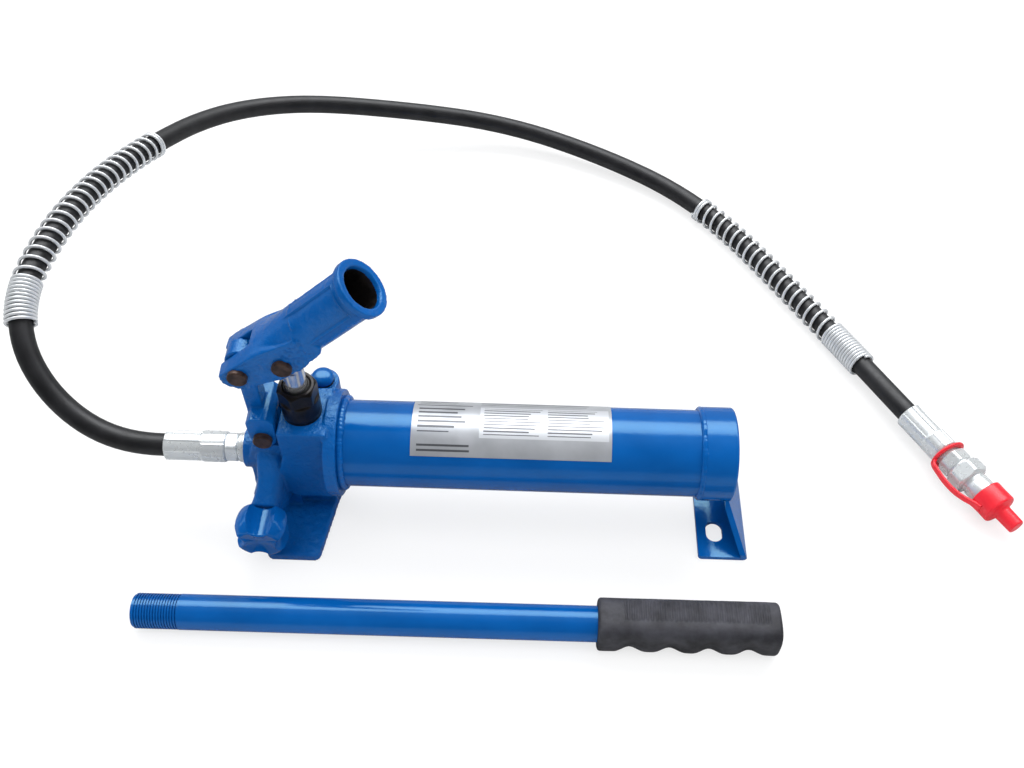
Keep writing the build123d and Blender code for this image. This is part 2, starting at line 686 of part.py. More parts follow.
def hose_centre_line():
    # the guide curve is laid as straight ends and pairs of tangent arcs, so
    # that the hose is made of cylinders and tori
    with BuildLine() as guide:
        Spline(*HOSE_POINTS, tangents=[(-1, 0, 0), TOOL_DIR])
    guide_edge = guide.edges()[0]

    stations = [(Vector(HOSE_BEND_X, 0, PORT_Z), Vector(-1, 0, 0))]
    for stop in ARC_STOPS:
        share = stop / guide_edge.length
        stations.append((guide_edge @ share, (guide_edge % share).normalized()))
    stations.append((BEND_END, TOOL_DIR.normalized()))

    with BuildLine() as path:
        Line((HOSE_START_X, 0, PORT_Z), (HOSE_BEND_X, 0, PORT_Z))
        for (start, start_dir), (end, end_dir) in zip(stations, stations[1:]):
            joint = arc_joint(start, start_dir, end, end_dir)
            first_arc = TangentArc(start, joint, tangent=start_dir)
            TangentArc(joint, end, tangent=first_arc % 1)
        Line(BEND_END, HOSE_END)
    return path


HOSE_PATH = hose_centre_line()


def hose():
    with BuildPart() as body:
        with BuildSketch(Plane(origin=(HOSE_START_X, 0, PORT_Z), x_dir=(0, 1, 0),
                               z_dir=(-1, 0, 0))):
            Circle(HOSE_R)
            Circle(HOSE_BORE_R, mode=Mode.SUBTRACT)
        sweep(path=HOSE_PATH.wires()[0])
    return body.part


save("hose", hose())

# --------------------------------------------------------------- spring guards
GUARD_R, GUARD_WIRE_R, GUARD_PITCH = 8.3, 0.98, 7.8
GUARD_TIGHT_PITCH = 2 * GUARD_WIRE_R * 1.19
POINTS_PER_TURN = 8

hose_edges = []                         # (arc length at its start, edge)
walked = 0.0
for hose_edge in HOSE_PATH.edges():
    hose_edges.append((walked, hose_edge))
    walked += hose_edge.length


def along_hose(distance):
    # point and direction of the hose centre line at an arc length
    start, edge = [entry for entry in hose_edges if entry[0] <= distance][-1]
    share = (distance - start) / edge.length
    return edge @ share, (edge % share).normalized()


def guard_points(start, end, tight_start, tight_end):
    # points on a spring wound round the hose between two arc lengths, close
    # wound over the given length at each end
    points, distance, turn = [], start, 0.0
    while distance < end:
        centre, along = along_hose(distance)
        across = along.cross(Vector(0, 0, 1)).normalized()
        normal = along.cross(across)
        points.append(centre + across * (GUARD_R * cos(turn)) + normal * (GUARD_R * sin(turn)))
        tight = distance < start + tight_start or distance > end - tight_end
        distance += (GUARD_TIGHT_PITCH if tight else GUARD_PITCH) / POINTS_PER_TURN
        turn += 2 * pi / POINTS_PER_TURN
    return points


def spring_guard(points):
    with BuildPart() as body:
        with BuildLine() as coil:
            Spline(*points)
        with BuildSketch(Plane(origin=coil.line @ 0, z_dir=coil.line % 0)):
            Circle(GUARD_WIRE_R)
        sweep(path=coil.line, is_frenet=True)
    return body.part


save("spring_guard_pump",
     spring_guard(guard_points(start=145, end=338, tight_start=28, tight_end=4.5)))
save("spring_guard_tool",
     spring_guard(guard_points(start=815, end=998, tight_start=4.5, tight_end=34)))

# --------------------------------------------------------------- coupler
# stations along the tool axis: start, length, radius (and turn of the hexagon)
COUPLER_BORE_R = 4.2
COUPLER_STEPS = [
    (TOOL_FERRULE_LENGTH + 0.05, 4.45, 7.2),
    (38.4, 8.2, 8.5, 12),
    (46.5, 1.6, 8.2),
    (48.0, 10.0, 10.5, 4),
    (57.9, 23.0, 8.2),
    (4, 31, NECK_R),
]
COUPLER_BORES = [(4, 90, PASSAGE_R), (61, 30, COUPLER_BORE_R)]
POPPET_STEPS = [(70.5, 6, COUPLER_BORE_R - 0.06), (76.4, 3.6, 1.4)]
DUST_CAP_STEPS = [(68.5, 15, 10.6), (83.4, 12.4, 5.2)]
DUST_CAP_BORES = [(68.5, 13.0, 8.4)]
STRAP_POINTS = [(36.2, 11.0), (46, 13.4), (60, 14.2), (70, 12.8)]  # along, off the axis


def cap_tether():
    # ring on the coupler neck and the strap that runs along to the cap
    side = Vector(0, 0, 1).cross(TOOL_DIR).normalized()
    points = [TOOL_START + TOOL_DIR * along - side * out for along, out in STRAP_POINTS]
    with BuildPart() as body:
        with BuildSketch(TOOL_PLANE.offset(35.1)):
            Circle(11.6)
            Circle(7.3, mode=Mode.SUBTRACT)
        extrude(amount=2.0)
        with BuildLine() as strap:
            Spline(*points)
        with BuildSketch(Plane(origin=strap.line @ 0, x_dir=(0, 0, 1), z_dir=strap.line % 0)):
            Rectangle(5.0, 1.8)
        sweep(path=strap.line)
    return body.part


save("coupler_body", stack(TOOL_PLANE, COUPLER_STEPS, COUPLER_BORES))
save("coupler_poppet", stack(TOOL_PLANE, POPPET_STEPS))
save("poppet_spring", coil_spring(TOOL_PLANE.offset(61.5).origin, TOOL_DIR,
                                  pitch=1.6, height=5.4, radius=3.5, wire_r=0.4))
save("dust_cap", stack(TOOL_PLANE, DUST_CAP_STEPS, DUST_CAP_BORES))
save("cap_tether", cap_tether())

# --------------------------------------------------------------- handle
# lies beside the pump; stations run from the grip end towards -X
HANDLE_R, HANDLE_TILT = 10.0, radians(0.68)
GRIP_X, GRIP_Y, GRIP_Z = 268, -87.5, 13.6
GRIP_LENGTH, GRIP_WIDTH, GRIP_HEIGHT = 100.0, 27, 26.6
GRIP_PLANE = Plane(origin=(GRIP_X, GRIP_Y, GRIP_Z), x_dir=(0, -1, 0),
                   z_dir=(-cos(HANDLE_TILT), 0, -sin(HANDLE_TILT)))
TUBE_INSET = 4                          # tube starts this far inside the grip
RIDGED_START, RIDGE_COUNT, RIDGE_PITCH = GRIP_LENGTH + 234, 16, 1.55
HOLLOW_COUNT, HOLLOW_PITCH, HOLLOW_R = 4, 21.5, 18.0


def handle_tube():
    steps = [
        (TUBE_INSET, GRIP_LENGTH - TUBE_INSET, HANDLE_R - 0.05),
        (GRIP_LENGTH, RIDGED_START - GRIP_LENGTH, HANDLE_R),
        (RIDGED_START, 26, HANDLE_R - 0.9),
    ]
    for i in range(RIDGE_COUNT):
        steps.append((RIDGED_START + 0.8 + i * RIDGE_PITCH, 0.8, HANDLE_R - 0.15))
    return stack(GRIP_PLANE, steps, bores=[(TUBE_INSET, 400, HANDLE_R - 2.2)])


def handle_grip():
    hollow_y = GRIP_Y - GRIP_WIDTH / 2 - 14.5
    with BuildPart() as body:
        with BuildSketch(GRIP_PLANE):
            RectangleRounded(GRIP_WIDTH, GRIP_HEIGHT, 9.5)
        extrude(amount=GRIP_LENGTH)
        chamfer(faces().sort_by(Axis.X)[-1].edges(), 2.0)
        # finger hollows on the -Y side
        for i in range(HOLLOW_COUNT):
            with BuildSketch(Plane(origin=(GRIP_X - 17 - i * HOLLOW_PITCH, hollow_y, 0))):
                Circle(HOLLOW_R)
            extrude(amount=40, mode=Mode.SUBTRACT)
        with BuildSketch(GRIP_PLANE.offset(3.5)):
            Circle(HANDLE_R)
        extrude(amount=GRIP_LENGTH, mode=Mode.SUBTRACT)
    return body.part


save("handle_tube", handle_tube())
save("handle_grip", handle_grip())
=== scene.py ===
"""A hand-operated hydraulic pump with its hose, its coupler and a loose handle.

Z is up and the floor is z = 0. The reservoir tube runs along X, away from the pump head near the
origin, and the hose leaves the head at -X. Front is -Y, back is +Y, and the free end of the
handle grip points to +X. The scene is in metres. Sizes are in millimetres, times MM, unless a
comment says otherwise.
"""
import math
import random
from functools import partial

import bmesh
import bpy
import numpy as np
from mathutils import Matrix, Vector, noise


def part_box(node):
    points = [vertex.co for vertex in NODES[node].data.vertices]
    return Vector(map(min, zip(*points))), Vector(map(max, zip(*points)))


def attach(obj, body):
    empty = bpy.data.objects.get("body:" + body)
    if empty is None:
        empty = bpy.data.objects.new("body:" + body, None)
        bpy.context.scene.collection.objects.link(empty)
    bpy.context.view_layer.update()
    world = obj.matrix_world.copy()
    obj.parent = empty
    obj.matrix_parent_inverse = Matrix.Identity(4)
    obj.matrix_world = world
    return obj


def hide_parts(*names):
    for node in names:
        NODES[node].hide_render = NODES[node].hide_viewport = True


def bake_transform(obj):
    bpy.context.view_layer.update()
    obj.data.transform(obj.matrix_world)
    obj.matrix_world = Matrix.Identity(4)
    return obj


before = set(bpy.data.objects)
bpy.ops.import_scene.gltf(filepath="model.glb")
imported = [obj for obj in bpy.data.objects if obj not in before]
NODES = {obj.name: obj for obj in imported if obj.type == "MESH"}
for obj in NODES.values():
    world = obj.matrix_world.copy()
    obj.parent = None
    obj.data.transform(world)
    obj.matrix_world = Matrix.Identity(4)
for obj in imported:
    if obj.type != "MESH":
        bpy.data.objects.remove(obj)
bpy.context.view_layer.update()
scene = bpy.context.scene
random.seed(7)

MM = 0.001
TO_MM = 1000.0
UP = Vector((0, 0, 1))
ALONG_X = Vector((1, 0, 0))

tube_low, tube_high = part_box("reservoir_tube")
TUBE_Z = (tube_low.z + tube_high.z) / 2

PORT_Z = 0.048                                         # height of the hose port, metres
HOSE_END = Vector((371.0, 67.2, 12.5)) * MM            # where the coupler end begins
COUPLER_AXIS = Vector((0.4969, -0.8678, 0.0)).normalized()
COUPLER_SIDE = UP.cross(COUPLER_AXIS).normalized()


# ---------------------------------------------------------------- meshes
def new_object(name, mesh):
    piece = bpy.data.objects.new(name, mesh)
    scene.collection.objects.link(piece)
    return piece


def mesh_from(name, verts, faces, smooth=True):
    """A cleaned mesh object: doubles merged, slivers dissolved, normals outwards."""
    mesh = bpy.data.meshes.new(name)
    mesh.from_pydata([tuple(v) for v in verts], [], [tuple(f) for f in faces])
    mesh.update()
    bm = bmesh.new()
    bm.from_mesh(mesh)
    bmesh.ops.remove_doubles(bm, verts=bm.verts, dist=2e-7)
    bmesh.ops.dissolve_degenerate(bm, edges=bm.edges, dist=1e-7)
    bmesh.ops.recalc_face_normals(bm, faces=bm.faces)
    bm.to_mesh(mesh)
    bm.free()
    mesh.polygons.foreach_set("use_smooth", [bool(smooth)] * len(mesh.polygons))
    return new_object(name, mesh)


def set_material(piece, material):
    piece.data.materials.clear()
    piece.data.materials.append(material)


def apply_modifiers(piece):
    bpy.context.view_layer.update()
    depsgraph = bpy.context.evaluated_depsgraph_get()
    mesh = bpy.data.meshes.new_from_object(piece.evaluated_get(depsgraph))
    old = piece.data
    piece.modifiers.clear()
    piece.data = mesh
    mesh.name = piece.name
    if old.users == 0:
        bpy.data.meshes.remove(old)


def smooth_shade(piece, sharp_angle=None):
    """Smooth shading; edges that turn by more than sharp_angle degrees stay sharp."""
    mesh = piece.data
    mesh.polygons.foreach_set("use_smooth", [True] * len(mesh.polygons))
    if sharp_angle is not None:
        bm = bmesh.new()
        bm.from_mesh(mesh)
        limit = math.radians(sharp_angle)
        for edge in bm.edges:
            if len(edge.link_faces) == 2 and edge.calc_face_angle(0.0) > limit:
                edge.smooth = False
        bm.to_mesh(mesh)
        bm.free()


def dress(piece, material, body, node, sharp_angle=None):
    """Paint and shade a piece, and let it stand in for its CAD node."""
    set_material(piece, MATERIALS[material])
    smooth_shade(piece, sharp_angle)
    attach(piece, body)
    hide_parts(node)


def join(name, pieces):
    verts, faces = [], []
    for piece in pieces:
        offset = len(verts)
        verts += [tuple(v.co) for v in piece.data.vertices]
        faces += [tuple(i + offset for i in p.vertices) for p in piece.data.polygons]
    for piece in pieces:
        bpy.data.objects.remove(piece)
    return mesh_from(name, verts, faces)


def circle(count):
    """Angles of evenly spaced points round a full turn."""
    return [2 * math.pi * j / count for j in range(count)]


def angle_from(angle, reference):
    """Signed turn from reference to angle, within half a turn."""
    return (angle - reference + math.pi) % (2 * math.pi) - math.pi


def ease(share):
    return share * share * (3 - 2 * share)


def band(first, second, count):
    """Faces between two rings of count vertices that start at these indices."""
    return [(first + j, first + (j + 1) % count, second + (j + 1) % count, second + j)
            for j in range(count)]


def skin(rows, count, closed=False):
    """Faces over consecutive rings; closed joins the last ring to the first."""
    faces = []
    for i in range(rows if closed else rows - 1):
        faces += band(i * count, (i + 1) % rows * count, count)
    return faces


def fan(centre, ring, count):
    return [(centre, ring + j, ring + (j + 1) % count) for j in range(count)]


def turned(name, origin, axis, outer, inner=(), count=240, up=UP):
    """A part built round an axis from rows of (distance, radius or function of the angle).

    The skin runs out along outer and, if there are inner rows, back along them.
    """
    side = up.cross(axis).normalized()
    rows = list(outer) + list(reversed(inner))
    verts = []
    for distance, radius in rows:
        for turn in circle(count):
            reach = radius(turn) if callable(radius) else radius
            verts.append(origin + axis * (distance * MM)
                         + (side * math.cos(turn) + up * math.sin(turn)) * (reach * MM))
    return mesh_from(name, verts, skin(len(rows), count, closed=bool(inner)))


def rising_round(start, radius, length, height, turns):
    """Rows of a rounded edge that climbs from the given radius; turns are in radians."""
    return [(start + length * (1 - math.cos(a)), radius + height * math.sin(a)) for a in turns]


def falling_round(start, radius, size, turns):
    """Rows of a rounded edge that drops towards the given radius; turns are in radians."""
    return [(start + size * math.sin(a), radius + size * math.cos(a)) for a in turns]


# ---------------------------------------------------------------- node graphs
class Graph:
    """Short calls for filling a node tree; any value may be a constant or a socket."""

    def __init__(self, tree):
        self.tree = tree
        tree.nodes.clear()

    def feed(self, socket, value):
        if isinstance(value, bpy.types.NodeSocket):
            self.tree.links.new(value, socket)
        else:
            socket.default_value = value

    def node(self, kind, inputs=None, **settings):
        node = self.tree.nodes.new(kind)
        for name, value in settings.items():
            setattr(node, name, value)
        for name, value in (inputs or {}).items():
            self.feed(node.inputs[name], value)
        return node

    def math(self, operation, *values):
        node = self.node("ShaderNodeMath", operation=operation)
        for socket, value in zip(node.inputs, values):
            self.feed(socket, value)
        return node.outputs[0]

    def ramp(self, factor, stops):
        """Colour ramp over rows of (position, colour)."""
        node = self.node("ShaderNodeValToRGB")
        elements = node.color_ramp.elements
        while len(elements) < len(stops):
            elements.new(0.5)
        for element, (position, colour) in zip(elements, stops):
            element.position = position
            element.color = (*colour[:3], 1.0)
        self.feed(node.inputs["Fac"], factor)
        return node.outputs["Color"]

    def mix(self, factor, first, second, blend="MIX"):
        node = self.node("ShaderNodeMix", {"Factor": factor}, data_type="RGBA", blend_type=blend)
        colours = [socket for socket in node.inputs if socket.type == "RGBA"]
        self.feed(colours[0], first)
        self.feed(colours[1], second)
        return next(socket for socket in node.outputs if socket.type == "RGBA")

    def mix_shaders(self, factor, first, second):
        return self.node("ShaderNodeMixShader", {0: factor, 1: first, 2: second}).outputs[0]


class Surface(Graph):
    """A material with a principled shader, textured in object coordinates (metres)."""

    def __init__(self, name):
        self.material = bpy.data.materials.new(name)
        self.material.use_nodes = True
        super().__init__(self.material.node_tree)
        self.output = self.node("ShaderNodeOutputMaterial")
        self.shader = self.node("ShaderNodeBsdfPrincipled")
        self.feed(self.output.inputs[0], self.shader.outputs[0])
        self.coords = self.node("ShaderNodeTexCoord").outputs["Object"]
        self.normal = None

    def set(self, inputs):
        for name, value in inputs.items():
            self.feed(self.shader.inputs[name], value)

    def noise(self, scale, detail, roughness=0.5, distortion=0.0):
        return self.node("ShaderNodeTexNoise", {
            "Scale": scale, "Detail": detail, "Roughness": roughness,
            "Distortion": distortion, "Vector": self.coords}).outputs["Fac"]

    def mottle(self, scale, detail, dark, light, stops=(0.3, 0.7), roughness=0.5):
        """Colour that drifts between dark and light."""
        return self.ramp(self.noise(scale, detail, roughness), list(zip(stops, (dark, light))))

    def vary_roughness(self, scale, detail, spread, base):
        """Roughness from base up to base + spread."""
        uneven = self.noise(scale, detail)
        self.set({"Roughness": self.math("MULTIPLY_ADD", uneven, spread, base)})

    def bump(self, height, distance, strength=1.0):
        """Add a bump, distance in metres, on top of any earlier one."""
        node = self.node("ShaderNodeBump", {
            "Distance": distance, "Strength": strength, "Height": height})
        if self.normal is not None:
            self.feed(node.inputs["Normal"], self.normal)
        self.normal = node.outputs["Normal"]
        self.set({"Normal": self.normal})


def srgb(*channels):
    """Linear colour with alpha from 0-255 display values."""
    shares = [c / 255 for c in channels]
    return (*((c / 12.92) if c <= 0.04045 else ((c + 0.055) / 1.055) ** 2.4 for c in shares), 1.0)


def scaled(colour, factor):
    return tuple(min(1, x * factor) for x in colour[:3])


# ---------------------------------------------------------------- materials
BLACK, WHITE = (0, 0, 0), (1, 1, 1)


def blue_paint(name, cast=0.0, peel=0.35, roughness=0.13):
    """Glossy enamel with colour drift, orange peel and painted shade darkening its hollows; cast
    adds lumps and pits under it.
    """
    paint = Surface(name)
    drift = paint.mottle(scale=38, detail=3, dark=srgb(2, 76, 146), light=srgb(5, 85, 160))
    # painted shade: concave places (low pointiness) are darkened in the base colour
    pointiness = paint.node("ShaderNodeNewGeometry").outputs["Pointiness"]
    hollow_shade = paint.ramp(pointiness, [(0.40, (0.55, 0.55, 0.6)), (0.5, WHITE), (0.62, WHITE)])
    paint.set({
        "Base Color": paint.mix(1.0, drift, hollow_shade, "MULTIPLY"),
        "Roughness": roughness,
        "Specular IOR Level": 0.72,
        "Specular Tint": (0.50, 0.92, 1.0, 1)})
    paint.vary_roughness(scale=190, detail=4, spread=0.12, base=roughness - 0.05)
    paint.bump(paint.noise(scale=420, detail=2), distance=0.00010 * peel)
    if cast > 0:
        lumps = paint.noise(scale=330, detail=5, roughness=0.62, distortion=0.4)
        paint.bump(lumps, distance=0.0009 * cast)
        pits = paint.ramp(paint.noise(scale=620, detail=2), [(0.28, BLACK), (0.36, WHITE)])
        paint.bump(pits, distance=0.00025 * cast, strength=0.6)
    return paint.material


def metal(name, colour, roughness, dirt=0.15, grain=0.000004, scale=300, metallic=1.0):
    """Bare or plated metal; dirt darkens it in patches, grain is the bump in metres."""
    bare = Surface(name)
    dirty = scaled(colour, 1 - dirt)
    bare.set({"Metallic": metallic,
              "Base Color": bare.mottle(scale, detail=5, dark=dirty, light=colour)})
    bare.vary_roughness(scale * 2.2, detail=3, spread=0.08, base=roughness - 0.03)
    bare.bump(bare.noise(scale * 5, detail=3), distance=grain)
    return bare.material


def dark_oxide(name):
    oxide = Surface(name)
    oxide.set({
        "Base Color": oxide.mottle(scale=160, detail=4, dark=srgb(22, 20, 20),
                                   light=srgb(44, 38, 36), stops=(0.35, 0.7)),
        "Metallic": 0.55,
        "Coat Weight": 0.15})
    oxide.vary_roughness(scale=500, detail=3, spread=0.2, base=0.22)
    oxide.bump(oxide.noise(scale=900, detail=3), distance=0.00006)
    return oxide.material


def pin_oxide(name):
    oxide = Surface(name)
    oxide.set({
        "Base Color": oxide.mottle(scale=260, detail=5, dark=srgb(52, 38, 34),
                                   light=srgb(84, 66, 58), stops=(0.35, 0.65)),
        "Metallic": 0.5,
        "Roughness": 0.45})
    oxide.bump(oxide.noise(scale=1200, detail=3), distance=0.00005)
    return oxide.material


def rubber(name, base, roughness=0.5, grain_scale=900, grain=0.00004, bloom=0.0):
    """Mottled rubber; bloom lightens its pale patches."""
    gum = Surface(name)
    gum.set({
        "Base Color": gum.mottle(scale=85, detail=6, roughness=0.6, stops=(0.35, 0.68),
                                 dark=scaled(base, 0.7), light=scaled(base, 1.3 + bloom * 3)),
        "Specular IOR Level": 0.5,
        "Coat Weight": 0.0,
        "Coat Roughness": 0.3})
    gum.vary_roughness(scale=300, detail=3, spread=0.25, base=roughness - 0.1)
    gum.bump(gum.noise(grain_scale, detail=4), distance=grain)
    return gum.material


def plastic(name, colour, roughness=0.3):
    moulded = Surface(name)
    moulded.set({
        "Base Color": moulded.mottle(scale=120, detail=3, dark=scaled(colour, 0.88),
                                     light=colour),
        "Roughness": roughness,
        "Subsurface Weight": 0.12,
        "Subsurface Radius": (0.004, 0.001, 0.001)})
    moulded.bump(moulded.noise(scale=700, detail=2), distance=0.00005)
    return moulded.material


# printed fields on the data plate: u from, u to, v from, v to, rules per plate height,
# shortest rule as a share of the field, seed
PLATE_FIELDS = (
    (0.36, 0.655, 0.28, 0.69, 22.0, 0.72, 1.5),
    (0.68, 0.965, 0.28, 0.69, 22.0, 0.70, 7.5),
    (0.03, 0.30, 0.79, 0.92, 13.0, 0.6, 3.5),
    (0.34, 0.965, 0.79, 0.92, 13.0, 0.75, 13.5),
    (0.03, 0.28, 0.30, 0.69, 14.0, 0.5, 21.5),
    (0.03, 0.30, 0.06, 0.18, 16.0, 0.6, 31.5),
)
PLATE_PANEL = (0.34, 0.985, 0.24, 0.72)        # paler panel: u from, u to, v from, v to
PLATE_LINE = (0.02, 0.30, 0.735, 0.75)         # solid dark line, same columns
PLATE_FRONT = math.radians(50)                 # turn of the front edge from the top of the tube
PLATE_SPAN = math.radians(105)
RULE_SHARE = 0.42                              # share of the row pitch that is printed
PRINT_STRENGTH = 0.8


def label_print(name):
    """Foil with plain rules of uneven length in place of lettering."""
    foil = Surface(name)
    split = foil.node("ShaderNodeSeparateXYZ", {0: foil.coords}).outputs
    low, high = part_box("data_plate")
    # u runs along X; v runs round the tube, 0 at the front edge and 1 at the far edge
    u = foil.math("DIVIDE", foil.math("SUBTRACT", split[0], low.x), high.x - low.x)
    frontward = foil.math("MULTIPLY", split[1], -1.0)
    angle = foil.math("ARCTAN2", frontward, foil.math("SUBTRACT", split[2], TUBE_Z))
    v = foil.math("DIVIDE", foil.math("SUBTRACT", PLATE_FRONT, angle), PLATE_SPAN)

    def between(value, low_edge, high_edge):
        return foil.math("MULTIPLY", foil.math("GREATER_THAN", value, low_edge),
                         foil.math("LESS_THAN", value, high_edge))

    def rectangle(u_from, u_to, v_from, v_to):
        return foil.math("MULTIPLY", between(u, u_from, u_to), between(v, v_from, v_to))

    def rules(u_from, u_to, v_from, v_to, rows, fill, seed):
        row = foil.math("MULTIPLY", v, rows)
        printed = foil.math("LESS_THAN", foil.math("FRACT", row), RULE_SHARE)
        index = foil.math("FLOOR", row)
        chance = foil.node("ShaderNodeTexWhiteNoise", noise_dimensions="1D")
        foil.feed(chance.inputs["W"], foil.math("ADD", index, seed))
        width = u_to - u_from
        end = foil.math("MULTIPLY_ADD", chance.outputs["Value"], width * (1 - fill),
                        u_from + width * fill)
        rule = foil.math("MULTIPLY", printed, foil.math("LESS_THAN", u, end))
        return foil.math("MULTIPLY", rule, rectangle(u_from, u_to, v_from, v_to))

    ground = foil.mottle(scale=60, detail=3, dark=srgb(168, 171, 176), light=srgb(186, 189, 194))
    panel = foil.math("MULTIPLY", rectangle(*PLATE_PANEL), 0.8)
    colour = foil.mix(panel, ground, srgb(216, 219, 224))
    ink = rectangle(*PLATE_LINE)
    for field in PLATE_FIELDS:
        ink = foil.math("MAXIMUM", ink, foil.math("MULTIPLY", rules(*field), PRINT_STRENGTH))
    foil.set({
        "Base Color": foil.mix(ink, colour, srgb(38, 40, 46)),
        "Metallic": 0.45,
        "Roughness": 0.34,
        "Coat Weight": 0.3})
    foil.bump(foil.noise(scale=260, detail=2), distance=0.00002)
    return foil.material


MATERIALS = {
    "cast": blue_paint("blue_cast", cast=0.5),
    "cast_rough": blue_paint("blue_cast_rough", cast=1.0, roughness=0.2),
    "sheet": blue_paint("blue_sheet", peel=0.6),
    "tube": blue_paint("blue_tube", roughness=0.15),
    "black": dark_oxide("black_oxide_m"),
    "pin": pin_oxide("pin_oxide_m"),
    "chrome": metal("chrome_m", (0.78, 0.78, 0.79), roughness=0.14, dirt=0.05, grain=0.000001,
                    metallic=0.85),
    "zinc": metal("zinc_m", (0.74, 0.77, 0.78), roughness=0.27, dirt=0.05, grain=0.000001,
                  scale=120, metallic=0.5),
    "wire": metal("wire_m", (0.78, 0.80, 0.82), roughness=0.22, dirt=0.08, grain=0.000002,
                  scale=120, metallic=0.5),
    "steel": metal("steel_m", (0.6, 0.6, 0.62), roughness=0.15),
    "copper": metal("copper_m", (0.72, 0.36, 0.2), roughness=0.3),    # spare, on no piece
    "hose": rubber("hose_rubber_m", srgb(26, 26, 28), roughness=0.42, grain_scale=1400,
                   grain=0.00005),
    "grip": rubber("grip_rubber_m", srgb(42, 42, 47), roughness=0.6, grain_scale=1500,
                   grain=0.0001, bloom=0.25),
    "seal": rubber("seal_rubber_m", srgb(20, 20, 20)),
    "red": plastic("cap_plastic_m", srgb(228, 38, 52)),
    # bare steel of the socket bore, made near black as painted shade of its depth
    "bore": dark_oxide("bore_oxide_and_shade_m"),
    "brass": metal("mesh_brass_m", (0.7, 0.55, 0.25), roughness=0.35, scale=800),
    "label": label_print("label_print_m"),
}

# material -> the CAD nodes that wear it
CAD_MATERIALS = {
    "tube": "reservoir_tube end_cap handle_tube",
    "sheet": "rear_foot",
    "cast": "pump_head release_knob link handle_socket filler_plug",
    "black": "pump_cylinder cylinder_washer relief_screw",
    "seal": "wiper_ring plunger_seal backup_ring spindle_seal filler_gasket",
    "chrome": "plunger",
    "zinc": "suction_seat release_spindle port_washer hose_adapter coupler_body "
            "coupler_poppet hose_ferrule_pump hose_ferrule_tool",
    "brass": "suction_filter",
    "steel": "suction_ball discharge_ball relief_ball release_ball",
    "wire": "suction_spring discharge_spring relief_spring poppet_spring "
            "link_pin_upper_clip plunger_pin_clip link_pin_lower_clip "
            "spring_guard_pump spring_guard_tool",
    "pin": "link_pin_upper plunger_pin link_pin_lower",
    "hose": "hose",
    "red": "dust_cap cap_tether",
    "grip": "handle_grip",
    "label": "data_plate",
}
for material_key, node_names in CAD_MATERIALS.items():
    for node_name in node_names.split():
        set_material(NODES[node_name], MATERIALS[material_key])
        smooth_shade(NODES[node_name], 32)


# ---------------------------------------------------------------- castings
def read_vertices(mesh, attribute="co"):
    values = np.zeros(len(mesh.vertices) * 3)
    mesh.vertices.foreach_get(attribute, values)
    return values.reshape(-1, 3)


def write_vertices(mesh, points):
    mesh.vertices.foreach_set("co", points.ravel())
    mesh.update()


def voxel_remesh(piece, voxel):
    remesh = piece.modifiers.new("remesh", "REMESH")
    remesh.mode = "VOXEL"
    remesh.voxel_size = voxel
    remesh.adaptivity = 0.0
    apply_modifiers(piece)


def round_corners(mesh, points, steps, weights):
    """Laplacian smoothing whose outward steps keep the size while the corners round off."""
    edges = np.zeros(len(mesh.edges) * 2, np.int64)
    mesh.edges.foreach_get("vertices", edges)
    edges = edges.reshape(-1, 2)
    neighbours = np.zeros(len(points))
    np.add.at(neighbours, edges[:, 0], 1)
    np.add.at(neighbours, edges[:, 1], 1)
    for i in range(steps):
        total = np.zeros_like(points)
        np.add.at(total, edges[:, 0], points[edges[:, 1]])
        np.add.at(total, edges[:, 1], points[edges[:, 0]])
        pull = total / neighbours[:, None] - points
        factor = 0.55 if i % 2 == 0 else -0.42
        points = points + factor * pull * weights[:, None]
    return points


def casting(name, node, body, material, voxel, steps, lump, lump_scale,
            keep=None, relief=None, reshape=None, added=None):
    """A painted casting: the CAD form with rounded corners and a slightly uneven skin.

    lump is the height of the unevenness in metres. keep(point) says how much rounding and
    lumps a place gets, 0 to 1. relief(point, normal) adds height. reshape(points) moves the
    vertices between two remeshes. added is an object merged into the form.
    """
    mesh = NODES[node].data.copy()
    mesh.name = name
    piece = new_object(name, mesh)
    bm = bmesh.new()
    bm.from_mesh(mesh)
    if added:
        bm.from_mesh(added.data)
        bpy.data.objects.remove(added)
    bmesh.ops.remove_doubles(bm, verts=bm.verts, dist=1e-6)
    bm.to_mesh(mesh)
    bm.free()
    voxel_remesh(piece, voxel)
    if reshape:
        write_vertices(piece.data, reshape(read_vertices(piece.data)))
        voxel_remesh(piece, voxel)
    mesh = piece.data
    points = read_vertices(mesh)
    weights = np.ones(len(points)) if keep is None else np.array([keep(p) for p in points])
    points = round_corners(mesh, points, steps, weights)
    write_vertices(mesh, points)
    normals = read_vertices(mesh, "normal")
    uneven = np.array([noise.fractal(Vector(p) * lump_scale, 1.0, 2.1, 3) for p in points])
    height = uneven * lump * weights
    if relief is not None:
        height = height + np.array([relief(p, n) for p, n in zip(points, normals)])
    write_vertices(mesh, points + normals * height[:, None])
    dress(piece, material, body, node)
    return piece


# pump head
SOLE_Z = 0.4                               # below this the sole stays flat
TUBE_FACE_X = 19.2                         # spigot and flange face under the weld
HOSE_BOSS_X, HOSE_BOSS_HALF = -37.3, 13    # faced boss of the hose port
SEAT_R, SEAT_Z = 12.2, 84                  # machined seat for the cylinder
SAND_HEIGHT = 0.00030                      # metres


def head_keep(point):
    x, y, z = point * TO_MM
    keep = 1.0
    if z < SOLE_Z:
        keep = 0.0
    if x > TUBE_FACE_X:
        keep = 0.2
    if x < HOSE_BOSS_X and abs(y) < HOSE_BOSS_HALF:
        keep = 0.25
    if math.hypot(x, y) < SEAT_R and z > SEAT_Z:
        keep = 0.1
    return keep


